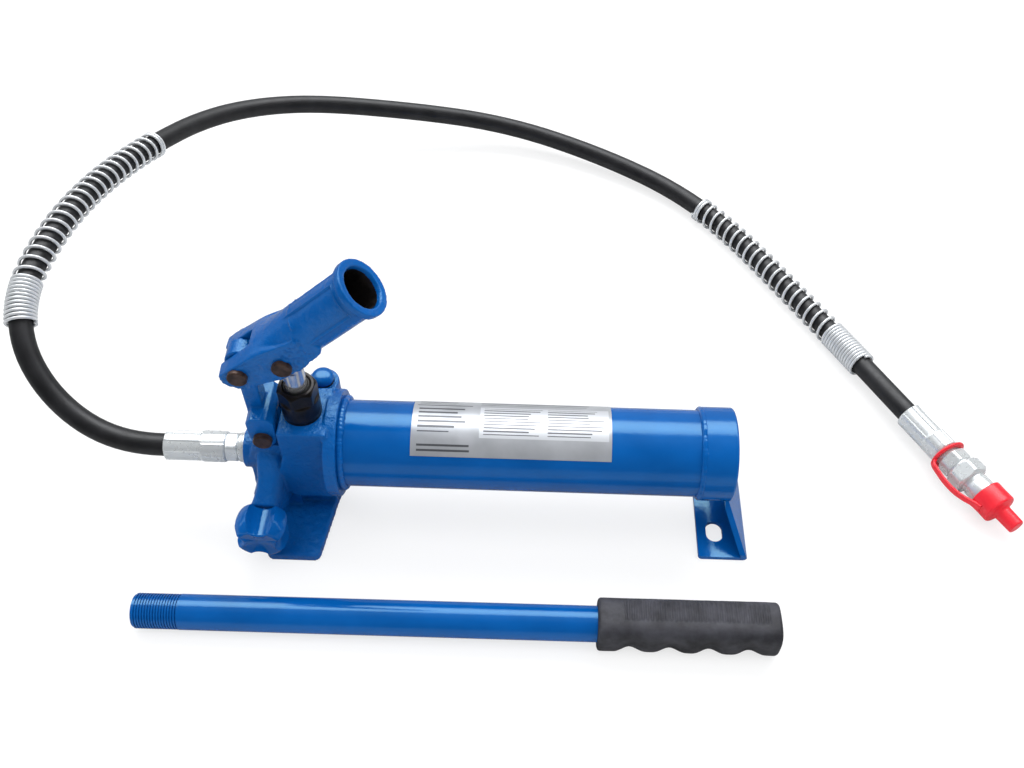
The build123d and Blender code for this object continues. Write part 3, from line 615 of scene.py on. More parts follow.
def head_relief(point, normal):
    """Coarse sand skin on the foot and the web, calmer on the block."""
    x, y, z = point * TO_MM
    share = 0.0
    if z > 0.5:
        if z < 9 or (abs(y) > 18 and z < 12):      # foot
            share = 1.0
        elif z < 30:                               # web
            share = 0.6
        elif x > 12.5:                             # tube side of the block
            share = 0.3
        else:
            share = 0.14
    if normal[2] < -0.7:                           # faces that look down
        share *= 0.4
    return share * SAND_HEIGHT * noise.fractal(Vector(point) * 260.0, 0.9, 2.2, 3)


SPINDLE_X, SPINDLE_Z, SPINDLE_BORE_R = -25.0, 28.0, 4.35
# sections of the thickening, back to front: y, z from, z to, x from, x to
RAMP_SECTIONS = (
    (-9.0, 13.0, 63.0, -30.5, -13.0),
    (-14.0, 13.5, 57.0, -30.2, -14.0),
    (-20.0, 15.0, 48.0, -30.0, -15.0),
    (-27.0, 17.0, 41.5, -31.5, -17.0),
    (-32.2, 18.6, 38.4, -33.4, -17.0),
    (-33.0, 19.2, 37.8, -32.8, -17.6),
)


def release_ramp(count=96):
    """Thickening in front of the column, with the release spindle's bore left open."""
    outline, bore = [], []
    verts = []
    for y, z_from, z_to, x_from, x_to in RAMP_SECTIONS:
        outline.append(len(verts))
        for turn in circle(count):
            # rounded box drawn round the spindle axis
            c, s = math.cos(turn), math.sin(turn)
            half_x = (x_to - SPINDLE_X) if c > 0 else (SPINDLE_X - x_from)
            half_z = (z_to - SPINDLE_Z) if s > 0 else (SPINDLE_Z - z_from)
            reach = (abs(c / half_x) ** 4 + abs(s / half_z) ** 4) ** -0.25
            verts.append(((SPINDLE_X + reach * c) * MM, y * MM, (SPINDLE_Z + reach * s) * MM))
        bore.append(len(verts))
        for turn in circle(count):
            verts.append(((SPINDLE_X + SPINDLE_BORE_R * math.cos(turn)) * MM, y * MM,
                          (SPINDLE_Z + SPINDLE_BORE_R * math.sin(turn)) * MM))
    faces = []
    for i in range(len(RAMP_SECTIONS) - 1):
        faces += band(outline[i], outline[i + 1], count)
        faces += band(bore[i], bore[i + 1], count)
    for i in (0, -1):
        faces += band(outline[i], bore[i], count)
    return mesh_from("ramp_tmp", verts, faces)


# handle socket: "along" runs up the barrel axis and is 0 at the mouth, "above" is square to
# it on the upper side, "across" is Y
SOCKET_MOUTH = Vector((44.7, 0.0, 185.5)) * MM
SOCKET_TILT = math.radians(42.6)
SOCKET_AXIS = Vector((math.cos(SOCKET_TILT), 0, math.sin(SOCKET_TILT)))
SOCKET_ABOVE = Vector((-SOCKET_AXIS.z, 0, SOCKET_AXIS.x))
BARREL_R = 13.75
BORE_R = 11.0
YOKE_END = -44.0                           # the yoke lies below this distance along
# ledge between barrel and cheeks: along, above
LEDGE = ((-89.0, 12.6), (-72.5, 10.5), (-64.7, 9.5), (-57.0, 7.9), (-45.8, 5.7))
# recessed panel on each side of the barrel: borders as turns above the side, in degrees
PANEL_TOP, PANEL_BOTTOM = 73, -5
PANEL_MOUTH_END = -8.2
PANEL_YOKE_END = -45.5
PANEL_SLANT = 4.0                          # how far the yoke-side border slants along
ARC_PER_DEGREE = 0.24                      # mm round the barrel
PANEL_DEPTH, RIM_HEIGHT = 0.00075, 0.00050    # metres


def ledge_above(along):
    return np.interp(along, [p[0] for p in LEDGE], [p[1] for p in LEDGE])


def socket_place(point):
    offset = point - SOCKET_MOUTH
    return offset.dot(SOCKET_AXIS) * TO_MM, offset.dot(SOCKET_ABOVE) * TO_MM, offset.y * TO_MM


def socket_reshape(points):
    """The barrel runs on to the back of the yoke; the cheeks meet it along a small ledge."""
    mouth, axis, upward = np.array(SOCKET_MOUTH), np.array(SOCKET_AXIS), np.array(SOCKET_ABOVE)
    offset = points - mouth
    along, above, across = (a * 1000 for a in (offset @ axis, offset @ upward, offset[:, 1]))
    width = np.abs(across)
    radial = np.hypot(width, above) + 1e-9
    ledge = ledge_above(along)
    # above the ledge the section closes over the cheeks to the top line of the barrel
    closing = ease(np.clip((-50.0 - along) / 22.0, 0.0, 1.0))
    dome = np.sqrt(np.maximum(0.0, 1 - np.minimum(1.0, width / 14.1) ** 2))
    closed = ledge + (BARREL_R - ledge) * dome
    barrel = np.maximum(np.sqrt(np.maximum(0.0, BARREL_R * BARREL_R - width * width)), ledge)
    top = closing * closed + (1 - closing) * barrel
    yoke = (along < YOKE_END) & (above > 0)
    new_above = np.where(yoke, np.minimum(above, top), above)
    # trim to the barrel radius just past the yoke and near the mouth
    past_yoke = (along >= YOKE_END) & (along < -41.0) & (above > 0)
    near_mouth = (along > -6.2) & (along < -4.2)
    trimmed = past_yoke | near_mouth
    excess = np.ones_like(along)
    excess[trimmed] = np.maximum(1.0, radial[trimmed] / BARREL_R)
    new_above = new_above / excess
    moved = mouth + np.outer(along / 1000, axis) + np.outer(new_above / 1000, upward)
    moved[:, 1] = across / excess / 1000
    return moved


def socket_relief(point, _normal):
    along, above, across = socket_place(Vector(point))
    across = abs(across)
    height = 0.0
    if math.hypot(across, above) > 12.6 and -47 < along < -6.5:
        turn = math.degrees(math.atan2(above, across))
        inside = min((PANEL_TOP - turn) * ARC_PER_DEGREE, (turn - PANEL_BOTTOM) * ARC_PER_DEGREE,
                     PANEL_MOUTH_END - along)
        slant = (PANEL_TOP - turn) / (PANEL_TOP - PANEL_BOTTOM) * PANEL_SLANT
        from_yoke = along - (PANEL_YOKE_END + slant)
        if from_yoke > 0:
            wall = max(0.0, min(1.0, (inside + 0.15) / 0.6))
            height -= PANEL_DEPTH * wall * min(1.0, from_yoke / 9.0)
            # raised rim just outside the panel
            if abs(inside + 0.45) < 0.55:
                rim = 1 - abs((inside + 0.45) / 0.55)
                height += RIM_HEIGHT * rim * min(1.0, from_yoke / 4.0)
    # hammered, sand-cast skin on the cheeks
    below_ledge = ledge_above(along) - 0.3 - above
    if along < -42 and below_ledge > 0 and across > 10.0:
        place = Vector(point)
        edge = min(1.0, below_ledge / 1.5)
        fine = 1 - abs(noise.noise(place * 330.0)) * 2.4
        coarse = 1 - abs(noise.noise(place * 170.0 + Vector((7, 3, 1)))) * 2.4
        patchy = 0.75 + 1.6 * noise.noise(place * 38.0 + Vector((4, 0, 0)))
        patch = max(0.0, min(1.0, patchy))
        height += (0.00034 * fine + 0.00042 * coarse) * patch * edge - 0.00015
    return height


def in_socket_bore(point):
    along, above, across = socket_place(point)
    return -51 < along < -2.2 and math.hypot(above, across) < BORE_R


HEAD_VOXEL = 0.0006          # metres
HEAD_STEPS, SMALL_STEPS = ((12, 8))

casting("pump_casting", "pump_head", "pump", "cast_rough", HEAD_VOXEL, HEAD_STEPS,
        lump=0.00020, lump_scale=95.0, keep=head_keep, relief=head_relief, added=release_ramp())
socket = casting("socket_casting", "handle_socket", "socket_body", "cast", HEAD_VOXEL * 0.85,
                 SMALL_STEPS, lump=0.00010, lump_scale=120.0, relief=socket_relief,
                 reshape=socket_reshape)
casting("link_casting", "link", "link_body", "cast", HEAD_VOXEL * 0.85, SMALL_STEPS,
        lump=0.00010, lump_scale=130.0)

# paint doesn't reach the inside of the socket; its bare steel is made near black, partly as
# painted shade of the deep bore
socket.data.materials.append(MATERIALS["bore"])
for polygon in socket.data.polygons:
    if in_socket_bore(polygon.center):
        polygon.material_index = 1


# ---------------------------------------------------------------- release knob
KNOB_R = 16.4
FLUTE_CENTRE_R = 16.2                      # distance of the flute centres from the axis
FLUTE_R = 7.6
FLUTES = [math.radians(85 + 90 * i) for i in range(4)]
FLUTE_BLEND = 0.35
KNOB_DISH = 1.6                            # depth of the hollow in the front face
KNOB_FACE = 0.90                           # share of the radius where the rounded edges begin
KNOB_BACK_EXTRA, KNOB_FRONT_EXTRA = 0.0012, 0.0022     # metres beyond the CAD knob


def knob_radius(turn, depth):
    """Radius of the knob; depth runs from -1 at the back to 1 at the front."""
    barrel = KNOB_R * math.sqrt(max(0.0, 1 - (depth * (0.62 if depth > 0 else 0.5)) ** 2))
    flute_r = FLUTE_R - 0.5 * depth
    nearest = min(abs(angle_from(turn, flute)) for flute in FLUTES)
    chord = flute_r * flute_r - (FLUTE_CENTRE_R * math.sin(nearest)) ** 2
    if chord > 0 and FLUTE_CENTRE_R * math.cos(nearest) > 0:
        flute = FLUTE_CENTRE_R * math.cos(nearest) - math.sqrt(chord)
        blend = max(FLUTE_BLEND - abs(barrel - flute), 0.0) / FLUTE_BLEND
        return min(barrel, flute) - blend * blend * FLUTE_BLEND * 0.25
    return barrel


def knob_profile():
    """Rows of (depth, share of the radius, dish) from the back face over the rim."""
    corner = 1 - KNOB_FACE
    back_edge = [a / 6 * math.pi / 2 for a in range(1, 6)]
    front_edge = [(1 - a / 6) * math.pi / 2 for a in range(6)]
    rows = [(-1.0, 0.30 + 0.60 * i / 6.0, 0.0) for i in range(7)]
    rows += [(-1 + (1 - math.cos(a)) * corner, KNOB_FACE + corner * math.sin(a), 0.0)
             for a in back_edge]
    rows += [(-0.9 + 1.8 * i / 26.0, 1.0, 0.0) for i in range(1, 26)]
    rows += [(1 - (1 - math.cos(a)) * corner, KNOB_FACE + corner * math.sin(a), 0.0)
             for a in front_edge]
    for i in range(8):
        share = KNOB_FACE * (1 - i / 7.0)
        rows.append((1.0, share, KNOB_DISH * (1 - (share / KNOB_FACE) ** 2)))
    return rows


def knob(count=288):
    """A thick disc with a crowned rim, four concave flutes and a dished front face."""
    low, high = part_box("release_knob")
    centre_x, centre_z = (low.x + high.x) / 2, (low.z + high.z) / 2
    back, front = high.y + KNOB_BACK_EXTRA, low.y - KNOB_FRONT_EXTRA
    middle, half = (back + front) / 2, (back - front) / 2
    rows = knob_profile()
    verts = []
    for depth, share, dish in rows:
        y = middle - depth * half + dish * MM
        for turn in circle(count):
            radius = max(0.02, share) * knob_radius(turn, depth)
            x, z = radius * math.cos(turn), radius * math.sin(turn)
            place = Vector((x * 0.22, z * 0.22, depth * 2))
            uneven = 1 + noise.fractal(place, 1.0, 2.0, 2) * 0.006
            verts.append((centre_x + x * uneven * MM, y, centre_z + z * uneven * MM))
    back_centre = len(verts)
    verts.append((centre_x, middle + half, centre_z))
    verts.append((centre_x, middle - half + KNOB_DISH * MM, centre_z))
    faces = skin(len(rows), count)
    faces += fan(back_centre, 0, count)
    faces += fan(back_centre + 1, (len(rows) - 1) * count, count)
    return mesh_from("knob_casting", verts, faces)


dress(knob(), "sheet", "release_screw", "release_knob", 30)


# ---------------------------------------------------------------- filler plug
DOME_Z, DOME_R, DOME_HEIGHT = 83.0, 6.45, 3.4


def filler_cap():
    """A low domed cap on a straight shank; rows are (z, radius)."""
    low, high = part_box("filler_plug")
    rows = [(68.0, 0.0), (68.0, 4.6), (68.4, 5.0), (81.0, 5.0), (81.25, 5.4), (81.3, 6.2),
            (81.6, 6.4), (DOME_Z, DOME_R)]
    for turn in (math.radians(a) for a in range(6, 90, 6)):
        rows.append((DOME_Z + DOME_HEIGHT * math.sin(turn), DOME_R * (math.cos(turn) ** 0.72)))
    rows.append((DOME_Z + DOME_HEIGHT, 0.0))
    origin = Vector(((low.x + high.x) / 2, (low.y + high.y) / 2, 0))
    return turned("filler_cap", origin, UP, rows, count=96, up=Vector((0, 1, 0)))


dress(filler_cap(), "sheet", "filler_plug_body", "filler_plug", 40)


# ---------------------------------------------------------------- weld beads on the reservoir
BLOB_TURN = math.radians(243)              # low at the front
BLOB_SPREAD = 0.10                         # radians


def weld(name, x, ring_r, bead_r, seed, ripples, wobble, count=720, bead_count=18):
    """A bead round the tube: overlapping scales, uneven width, one start-stop blob."""
    verts = []
    for turn in circle(count):
        c, s = math.cos(turn), math.sin(turn)
        slow = noise.noise(Vector((c * 2.2 + seed, s * 2.2, seed)))
        fast = noise.noise(Vector((c * 7 + seed, s * 7, 3.1)))
        blob = math.exp(-(angle_from(turn, BLOB_TURN) / BLOB_SPREAD) ** 2)
        ripple = abs(math.sin(turn * ripples / 2.0 + 1.3 * fast))
        thick = bead_r * (0.86 + wobble * slow + 0.14 * fast + 0.07 * ripple + 0.55 * blob)
        centre = x + (0.35 * slow + 0.18 * fast) * wobble * 3 - 0.3 * blob
        for around in circle(bead_count):
            radius = ring_r + thick * math.sin(around)
            along = centre + thick * math.cos(around) + 0.12 * ripple * math.sin(around)
            verts.append((along * MM, radius * c * MM, TUBE_Z + radius * s * MM))
    bead = mesh_from(name, verts, skin(count, bead_count, closed=True))
    set_material(bead, MATERIALS["sheet"])
    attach(bead, "pump")


weld("weld_front", x=21.4, ring_r=25.4, bead_r=2.3, seed=3.0, ripples=60, wobble=0.16)
weld("weld_cap", x=224.6, ring_r=25.3, bead_r=1.9, seed=9.0, ripples=46, wobble=0.34)


# ---------------------------------------------------------------- hexagons and crimped sleeves
def hex_radius(turn, width, rotation, soft=0.5, limit=math.inf):
    """Radius of a hexagon of that width across flats, corners softened and cut at limit."""
    side_turn = (turn - rotation + math.pi / 6) % (math.pi / 3) - math.pi / 6
    radius = width / 2 / math.cos(side_turn)
    soft_from = width / 2 / math.cos(math.pi / 6) - soft
    if radius >= soft_from:
        radius = soft_from + (radius - soft_from) * 0.35
    return min(radius, limit)


def hex_rows(start, end, width, rotation, cone, cap, steps=7):
    """Rows of a hexagon whose ends are chamfered by a cone (degrees); cap limits the radius."""
    face_r = width / 2 * 0.965
    corner_r = width / 2 / math.cos(math.pi / 6)
    rise = corner_r - face_r
    depth = rise * math.tan(math.radians(cone))
    shares = [i / steps for i in range(steps + 1)]

    def cut(limit):
        return partial(hex_radius, width=width, rotation=rotation, limit=min(limit, cap))

    rows = [(start + depth * k, cut(face_r + rise * k)) for k in shares]
    return rows + [(end - depth * (1 - k), cut(corner_r - rise * k)) for k in shares]


SLEEVE_R = 9.25
DIES = 8


def crimp(depth, rotation, seed):
    """Radius of a sleeve squeezed by dies: shallow flats, each pressed a little differently,
    with raised ridges between them. share says how fully it is pressed."""
    chance = random.Random(seed)
    presses = [depth * (0.75 + 0.5 * chance.random()) for _ in range(DIES)]

    def radius(turn, share):
        place = ((turn - rotation) / (2 * math.pi) * DIES) % DIES
        die = int(place)
        across = (place - die) * 2 - 1
        flat = max(0.0, 1 - abs(across) ** 5)
        ridge = max(0.0, abs(across) - 0.86) / 0.14
        return SLEEVE_R - share * presses[die % DIES] * (0.55 + 0.45 * flat) * (1 - 0.9 * ridge)
    return radius


def sleeve(name, node, origin, axis, length, collar, rotation, seed):
    """A crimped hose sleeve with a more lightly pressed collar at its far end."""
    body = crimp(0.62, rotation, seed)
    light = crimp(0.34, rotation + 0.22, seed + 5)
    shoulder = length - collar

    def blended(turn, share):
        return body(turn, 1 - share) * (1 - share) + light(turn, 1) * share

    def collar_radius(turn, cut):
        return light(turn, 1) - cut

    outer = [(0.0, 7.1), (0.0, 8.05), (0.12, 8.4), (0.4, 8.62)]
    for i in range(15):
        distance = 0.7 + (shoulder - 2.2) * i / 14
        outer.append((distance, partial(body, share=1 - 0.25 * math.exp(-distance / 3.0))))
    for i in range(1, 6):
        outer.append((shoulder - 1.5 + 2.2 * i / 6, partial(blended, share=ease(i / 6))))
    for i in range(6):
        outer.append((shoulder + 0.9 + (collar - 1.9) * i / 5, partial(collar_radius, cut=0.0)))
    for before_end, cut in ((0.75, 0.06), (0.35, 0.22), (0.08, 0.5)):
        outer.append((length - before_end, partial(collar_radius, cut=cut)))
    outer += [(length, 8.2), (length, 3.6)]
    inner = [(0.0, 6.73), (length - 3.0, 6.73), (length - 3.0, 3.3), (length, 3.3)]
    piece = turned(name, origin, axis, outer, inner, count=192)
    dress(piece, "zinc", "pump", node, 38)


sleeve("sleeve_pump_end", "hose_ferrule_pump", Vector((-0.0855, 0, PORT_Z)), ALONG_X,
       length=36.0, collar=13.5, rotation=0.30, seed=3)
sleeve("sleeve_tool_end", "hose_ferrule_tool", HOSE_END, COUPLER_AXIS,
       length=34.0, collar=11.0, rotation=0.12, seed=8)


# ---------------------------------------------------------------- turned parts
# outlines are rows of (distance along the axis, radius)
def hose_adapter():
    """Hexagon with chamfered corners, then a rounded shoulder against the port."""
    outer = [(0.0, 1.85), (0.0, 3.1), (0.3, 3.2), (30.4, 3.2), (30.5, 6.6), (30.5, 7.2)]
    outer += hex_rows(30.5, 37.6, width=16.0, rotation=math.radians(100), cone=30, cap=9.05)
    outer += [(37.7, 7.4), (37.9, 7.4), (38.0, 7.9), (38.2, 8.4), (38.6, 8.72), (39.2, 8.8),
              (40.0, 8.75), (40.4, 8.4), (40.5, 7.8), (40.5, 6.5), (57.0, 6.5), (57.4, 6.1),
              (57.4, 1.85)]
    return turned("adapter_hex", Vector((-0.080, 0, PORT_Z)), ALONG_X, outer,
                  [(0.0, 1.8), (57.4, 1.8)])


COLLAR_R = 11.0
CROWN_R = 11.4


def pump_cylinder():
    """Round collar below, hexagon above, chamfered crown round the wiper."""
    hexagon = partial(hex_radius, width=19.8, rotation=math.radians(52), soft=0.35)

    def collar_to_hex(turn, share, limit):
        return COLLAR_R * (1 - share) + hexagon(turn, limit=limit) * share

    outer = [(56.0, 8.0), (56.0, 8.7), (56.3, 9.0), (86.3, 9.0), (86.56, 9.3), (86.56, 10.4)]
    outer += rising_round(86.56, 10.4, length=0.7, height=0.6, turns=(0.3, 0.7, 1.1, 1.57))
    outer += [(90.0, COLLAR_R), (94.0, COLLAR_R), (97.0, COLLAR_R)]
    for i in range(9):
        limit = COLLAR_R + 0.42 * min(1.0, i / 8 * 2)
        outer.append((98.2 + 1.2 * i / 8,
                      partial(collar_to_hex, share=ease(i / 8), limit=limit)))
    outer += [(z, partial(hexagon, limit=CROWN_R)) for z in (100.5, 105.6)]
    outer += [(106.3 + 2.2 * i / 8, partial(hexagon, limit=CROWN_R - 1.9 * i / 8))
              for i in range(1, 9)]
    outer += [(108.5, 9.3), (108.5, 8.3), (108.3, 8.02)]
    inner = [(56.0, 7.92), (64.5, 7.92), (64.5, 6.05), (104.5, 6.05), (104.5, 8.0), (108.3, 8.0)]
    return turned("cylinder_nut", Vector((0, 0, 0)), UP, outer, inner, count=288,
                  up=Vector((0, 1, 0)))


def coupler_body():
    """Small hexagon, large rounded hexagon, grooved neck under the dust cap."""
    outer = [(4.0, 1.85), (4.0, 3.1), (4.2, 3.2), (33.8, 3.2), (33.9, 6.8), (34.2, 7.2),
             (38.3, 7.2), (38.4, 7.6)]
    outer += hex_rows(38.4, 46.5, width=17.0, rotation=math.radians(12), cone=30, cap=9.75)
    outer += [(46.6, 8.0), (47.9, 8.0), (48.0, 9.2)]
    outer += hex_rows(48.0, 58.0, width=21.0, rotation=math.radians(4), cone=38, cap=11.85,
                      steps=8)
    outer += [(58.1, 8.0), (58.4, 7.7), (60.2, 7.7), (60.5, 8.0), (61.0, 8.2), (79.9, 8.2),
              (80.6, 7.9), (80.9, 7.4), (80.9, 4.5)]
    inner = [(4.0, 1.8), (61.0, 1.8), (61.0, 4.2), (80.9, 4.2)]
    return turned("coupler_turned", HOSE_END, COUPLER_AXIS, outer, inner)


def dust_cap():
    """A cup over the coupler's neck with a thin stem; the rows start inside, at the bottom."""
    rows = [(81.4, 0.0), (81.4, 8.2), (81.2, 8.4), (68.6, 8.45), (68.5, 9.9)]
    rows += rising_round(68.5, 9.9, length=0.7, height=0.7, turns=(0.3, 0.8, 1.2, 1.57))
    rows += [(74.0, 10.5), (80.0, 10.6)]
    rows += falling_round(80.6, 9.2, size=1.4, turns=(0, 0.4, 0.8, 1.2, 1.57))
    rows += [(82.4, 7.6), (83.2, 5.9), (83.8, 5.35), (84.6, 5.2), (94.6, 5.0)]
    rows += falling_round(94.6, 4.0, size=1.0, turns=(0.3, 0.7, 1.1, 1.57))
    rows += [(95.6, 2.0), (95.6, 0.0)]
    return turned("cap_moulding", HOSE_END, COUPLER_AXIS, rows, count=96)


dress(hose_adapter(), "zinc", "pump", "hose_adapter", 30)
dress(pump_cylinder(), "black", "pump", "pump_cylinder", 26)
dress(coupler_body(), "zinc", "pump", "coupler_body", 30)
dress(dust_cap(), "red", "cap_body", "dust_cap")


# ---------------------------------------------------------------- cap tether
def ribbon(name, points, width_direction, widths, thickness):
    """A strap with a rounded rectangular section carried along the points."""
    verts = []
    last = len(points) - 1
    for i, point in enumerate(points):
        tangent = (points[min(i + 1, last)] - points[max(i - 1, 0)]).normalized()
        across = (width_direction - tangent * width_direction.dot(tangent)).normalized()
        normal = tangent.cross(across)
        half_w, half_t = widths[i] / 2, thickness / 2
        corner = min(half_w, half_t) * 0.75
        flat_w, flat_t = half_w - corner, half_t - corner
        for centre_w, centre_t, start in ((flat_w, flat_t, 0), (-flat_w, flat_t, 90),
                                          (-flat_w, -flat_t, 180), (flat_w, -flat_t, 270)):
            for step in range(5):
                turn = math.radians(start + 90 * step / 4)
                verts.append(point + across * ((centre_w + corner * math.cos(turn)) * MM)
                             + normal * ((centre_t + corner * math.sin(turn)) * MM))
    count = 4 * 5
    faces = skin(len(points), count)
    faces.append(tuple(range(count - 1, -1, -1)))
    faces.append(tuple(last * count + j for j in range(count)))
    return mesh_from(name, verts, faces)


def catmull_rom(controls, steps):
    """A smooth run of points through the controls."""
    points = []
    padded = [controls[0] * 2 - controls[1]] + controls + [controls[-1] * 2 - controls[-2]]
    for i in range(1, len(padded) - 2):
        before, start, end, after = padded[i - 1:i + 3]
        for j in range(steps):
            k = j / steps
            points.append(0.5 * ((2 * start) + (end - before) * k
                                 + (2 * before - 5 * start + 4 * end - after) * k ** 2
                                 + (3 * start - before - 3 * end + after) * k ** 3))
    points.append(controls[-1])
    return points


RING_PLACE = 36.1                          # along the coupler axis
RING_R = 9.45
# strap centre line: along the coupler axis, out to the side, up
STRAP_CONTROLS = (
    (RING_PLACE, 10.0, 0), (37.5, 12.6, 0), (42, 13.6, -0.4), (50, 14.6, -0.8),
    (58, 14.6, -0.8), (65, 13.2, -0.4), (70.5, 11.2, 0), (75.5, 10.2, 0),
)
STRAP_WIDTH, STRAP_ROOT_WIDTH, STRAP_FLARE = 4.4, 5.2, 2.2
ROOT_POINTS, FLARE_POINTS = 8, 14          # points at the ring and at the cap


def strap():
    controls = [HOSE_END + COUPLER_AXIS * (along * MM) - COUPLER_SIDE * (out * MM)
                + UP * (up * MM) for along, out, up in STRAP_CONTROLS]
    points = catmull_rom(controls, 10)
    flare_from = len(points) - FLARE_POINTS
    widths = []
    for i in range(len(points)):
        flare = STRAP_FLARE * max(0, i - flare_from) / FLARE_POINTS
        widths.append(STRAP_ROOT_WIDTH if i < ROOT_POINTS else STRAP_WIDTH + flare)
    return ribbon("strap_run", points, UP, widths, thickness=1.8)


def tether_ring(count=96, section_count=12):
    """A flat ring with round edges, sitting slightly tilted on the coupler."""
    verts = []
    for turn in circle(count):
        outwards = COUPLER_SIDE * math.cos(turn) + UP * math.sin(turn)
        tilt = 0.9 * math.cos(turn)
        for around in circle(section_count):
            c, s = math.cos(around), math.sin(around)
            radius = RING_R + 2.15 * math.copysign(abs(c) ** 0.6, c)
            along = RING_PLACE + math.copysign(abs(s) ** 0.8, s) + tilt
            verts.append(HOSE_END + COUPLER_AXIS * (along * MM) + outwards * (radius * MM))
    return mesh_from("ring_tmp", verts, skin(count, section_count, closed=True))


tether = join("tether_moulding", [strap(), tether_ring()])
set_material(tether, MATERIALS["red"])
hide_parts("cap_tether")
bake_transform(tether)


# ---------------------------------------------------------------- grip
GRIP_HALF_Y, GRIP_HALF_Z, GRIP_SQUARENESS = 13.2, 12.9, 3.2
GRIP_END_Z = 13.6                          # height of the axis at the free end
GRIP_FALL = math.tan(math.radians(0.68))   # the axis sinks towards the tube
GRIP_HOLE_R, GRIP_HOLE_DEPTH = 10.02, 3
FINGER_TURN, FINGER_PITCH, FINGER_DEPTH = math.radians(205), 22.0, 3.0
RIB_TURN, RIB_HALF_SPAN, RIB_PITCH = math.radians(78), 0.5, 2.6
FLOOR_GAP = 0.00005                        # metres


def end_rounding(distance, reach, drop):
    """Factor on the section that rounds off an end over the given reach."""
    if distance >= reach:
        return 0.0
    return drop * (1 - math.sqrt(max(0.0, 1 - (1 - distance / reach) ** 2)))


def clamp(value):
    return min(1, max(0, value))


def grip_radius(turn, along, length, scale):
    c, s = math.cos(turn), math.sin(turn)
    power = GRIP_SQUARENESS
    radius = (abs(c / GRIP_HALF_Y) ** power + abs(s / GRIP_HALF_Z) ** power) ** (-1 / power)
    radius *= scale
    # finger hollows on the front lower side
    facing = max(0.0, math.cos(angle_from(turn, FINGER_TURN))) ** 2.2
    wave = 0.5 - 0.5 * math.cos(2 * math.pi * (along - 5) / FINGER_PITCH)
    fade = clamp((along - 2) / 6) * clamp((length - 6 - along) / 6)
    radius -= FINGER_DEPTH * facing * (wave ** 1.6) * fade
    # ribbed strip along the top, towards the back
    from_strip = abs(angle_from(turn, RIB_TURN))
    if from_strip < RIB_HALF_SPAN and 6 < along < length - 14:
        edge = min(1, (RIB_HALF_SPAN - from_strip) / 0.08)
        rib = 0.5 + 0.5 * math.tanh(3.0 * math.sin(2 * math.pi * along / RIB_PITCH))
        radius += (-0.45 + 0.75 * rib) * edge
    return radius + 0.10 * noise.fractal(Vector((along * 0.12, c * 2, s * 2)), 1.0, 2.0, 3)


def grip(steps=260, count=128):
    """Dipped rubber over the tube, from the free end at +X towards the tube."""
    low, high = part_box("handle_grip")
    centre_y = (low.y + high.y) / 2
    length = (high.x - low.x) / MM
    end_z = GRIP_END_Z * MM
    verts = []
    for i in range(steps + 1):
        along = length * i / steps
        # the reaches of the two ends don't overlap
        scale = (1 - end_rounding(along, reach=2.6, drop=0.16)
                 - end_rounding(length - along, reach=2.0, drop=0.13))
        axis_z = GRIP_END_Z - along * GRIP_FALL
        for turn in circle(count):
            radius = grip_radius(turn, along, length, scale)
            verts.append((high.x - along * MM, centre_y + radius * math.cos(turn) * MM,
                          max(FLOOR_GAP, axis_z * MM + radius * math.sin(turn) * MM)))
    faces = skin(steps + 1, count)
    # flat free end: shrinking rings and a centre
    previous = 0
    for share in (0.8, 0.6, 0.3):
        ring = len(verts)
        for _, y, z in verts[:count]:
            verts.append((high.x, centre_y + (y - centre_y) * share,
                          end_z + (z - end_z) * share))
        faces += band(ring, previous, count)
        previous = ring
    faces += fan(len(verts), previous, count)
    verts.append((high.x, centre_y, end_z))
    # tube end: an annulus, then a shallow hole round the tube
    hole = len(verts)
    hole_z = (GRIP_END_Z - length * GRIP_FALL) * MM
    hole_r = GRIP_HOLE_R * MM
    bottom_x = high.x - (length - GRIP_HOLE_DEPTH) * MM
    for x in (high.x - length * MM, bottom_x):
        for turn in circle(count):
            verts.append((x, centre_y + hole_r * math.cos(turn),
                          hole_z + hole_r * math.sin(turn)))
    faces += band(steps * count, hole, count)
    faces += band(hole, hole + count, count)
    faces += fan(len(verts), hole + count, count)
    verts.append((bottom_x, centre_y, hole_z))
    return mesh_from("grip_moulding", verts, faces)


dress(grip(), "grip", "handle", "handle_grip")


# ---------------------------------------------------------------- bevels on machined pieces
BEVELS = {"link_pin_upper": 0.2, "plunger_pin": 0.2, "link_pin_lower": 0.2, "rear_foot": 0.5,
          "handle_tube": 0.15, "port_washer": 0.2}
for node_name, bevel_width in BEVELS.items():
    bevel = NODES[node_name].modifiers.new("edge", "BEVEL")
    bevel.width = bevel_width * MM
    bevel.segments = 3
    bevel.limit_method = "ANGLE"
    bevel.angle_limit = math.radians(35)
    bevel.use_clamp_overlap = True


# ---------------------------------------------------------------- floor, world, lights, camera
def floor_material():
    """Pale floor that looks almost self-lit to the camera and dimmer in reflections."""
    pale = Surface("floor_m")
    pale.set({"Base Color": (0.93, 0.935, 0.94, 1), "Roughness": 0.6})
    pale.vary_roughness(scale=3, detail=2, spread=0.1, base=0.5)
    glow = pale.node("ShaderNodeEmission", {"Color": (1, 1, 1, 1), "Strength": 1.02})
    dark = pale.node("ShaderNodeEmission", {"Strength": 0.0})
    rays = pale.node("ShaderNodeLightPath").outputs
    dim_share = pale.math("MULTIPLY", rays["Is Glossy Ray"], 0.66)
    dimmed = pale.mix_shaders(dim_share, pale.shader.outputs[0], dark.outputs[0])
    glow_share = pale.math("MULTIPLY", rays["Is Camera Ray"], 0.70)
    lit = pale.mix_shaders(glow_share, dimmed, glow.outputs[0])
    pale.feed(pale.output.inputs[0], lit)
    return pale.material


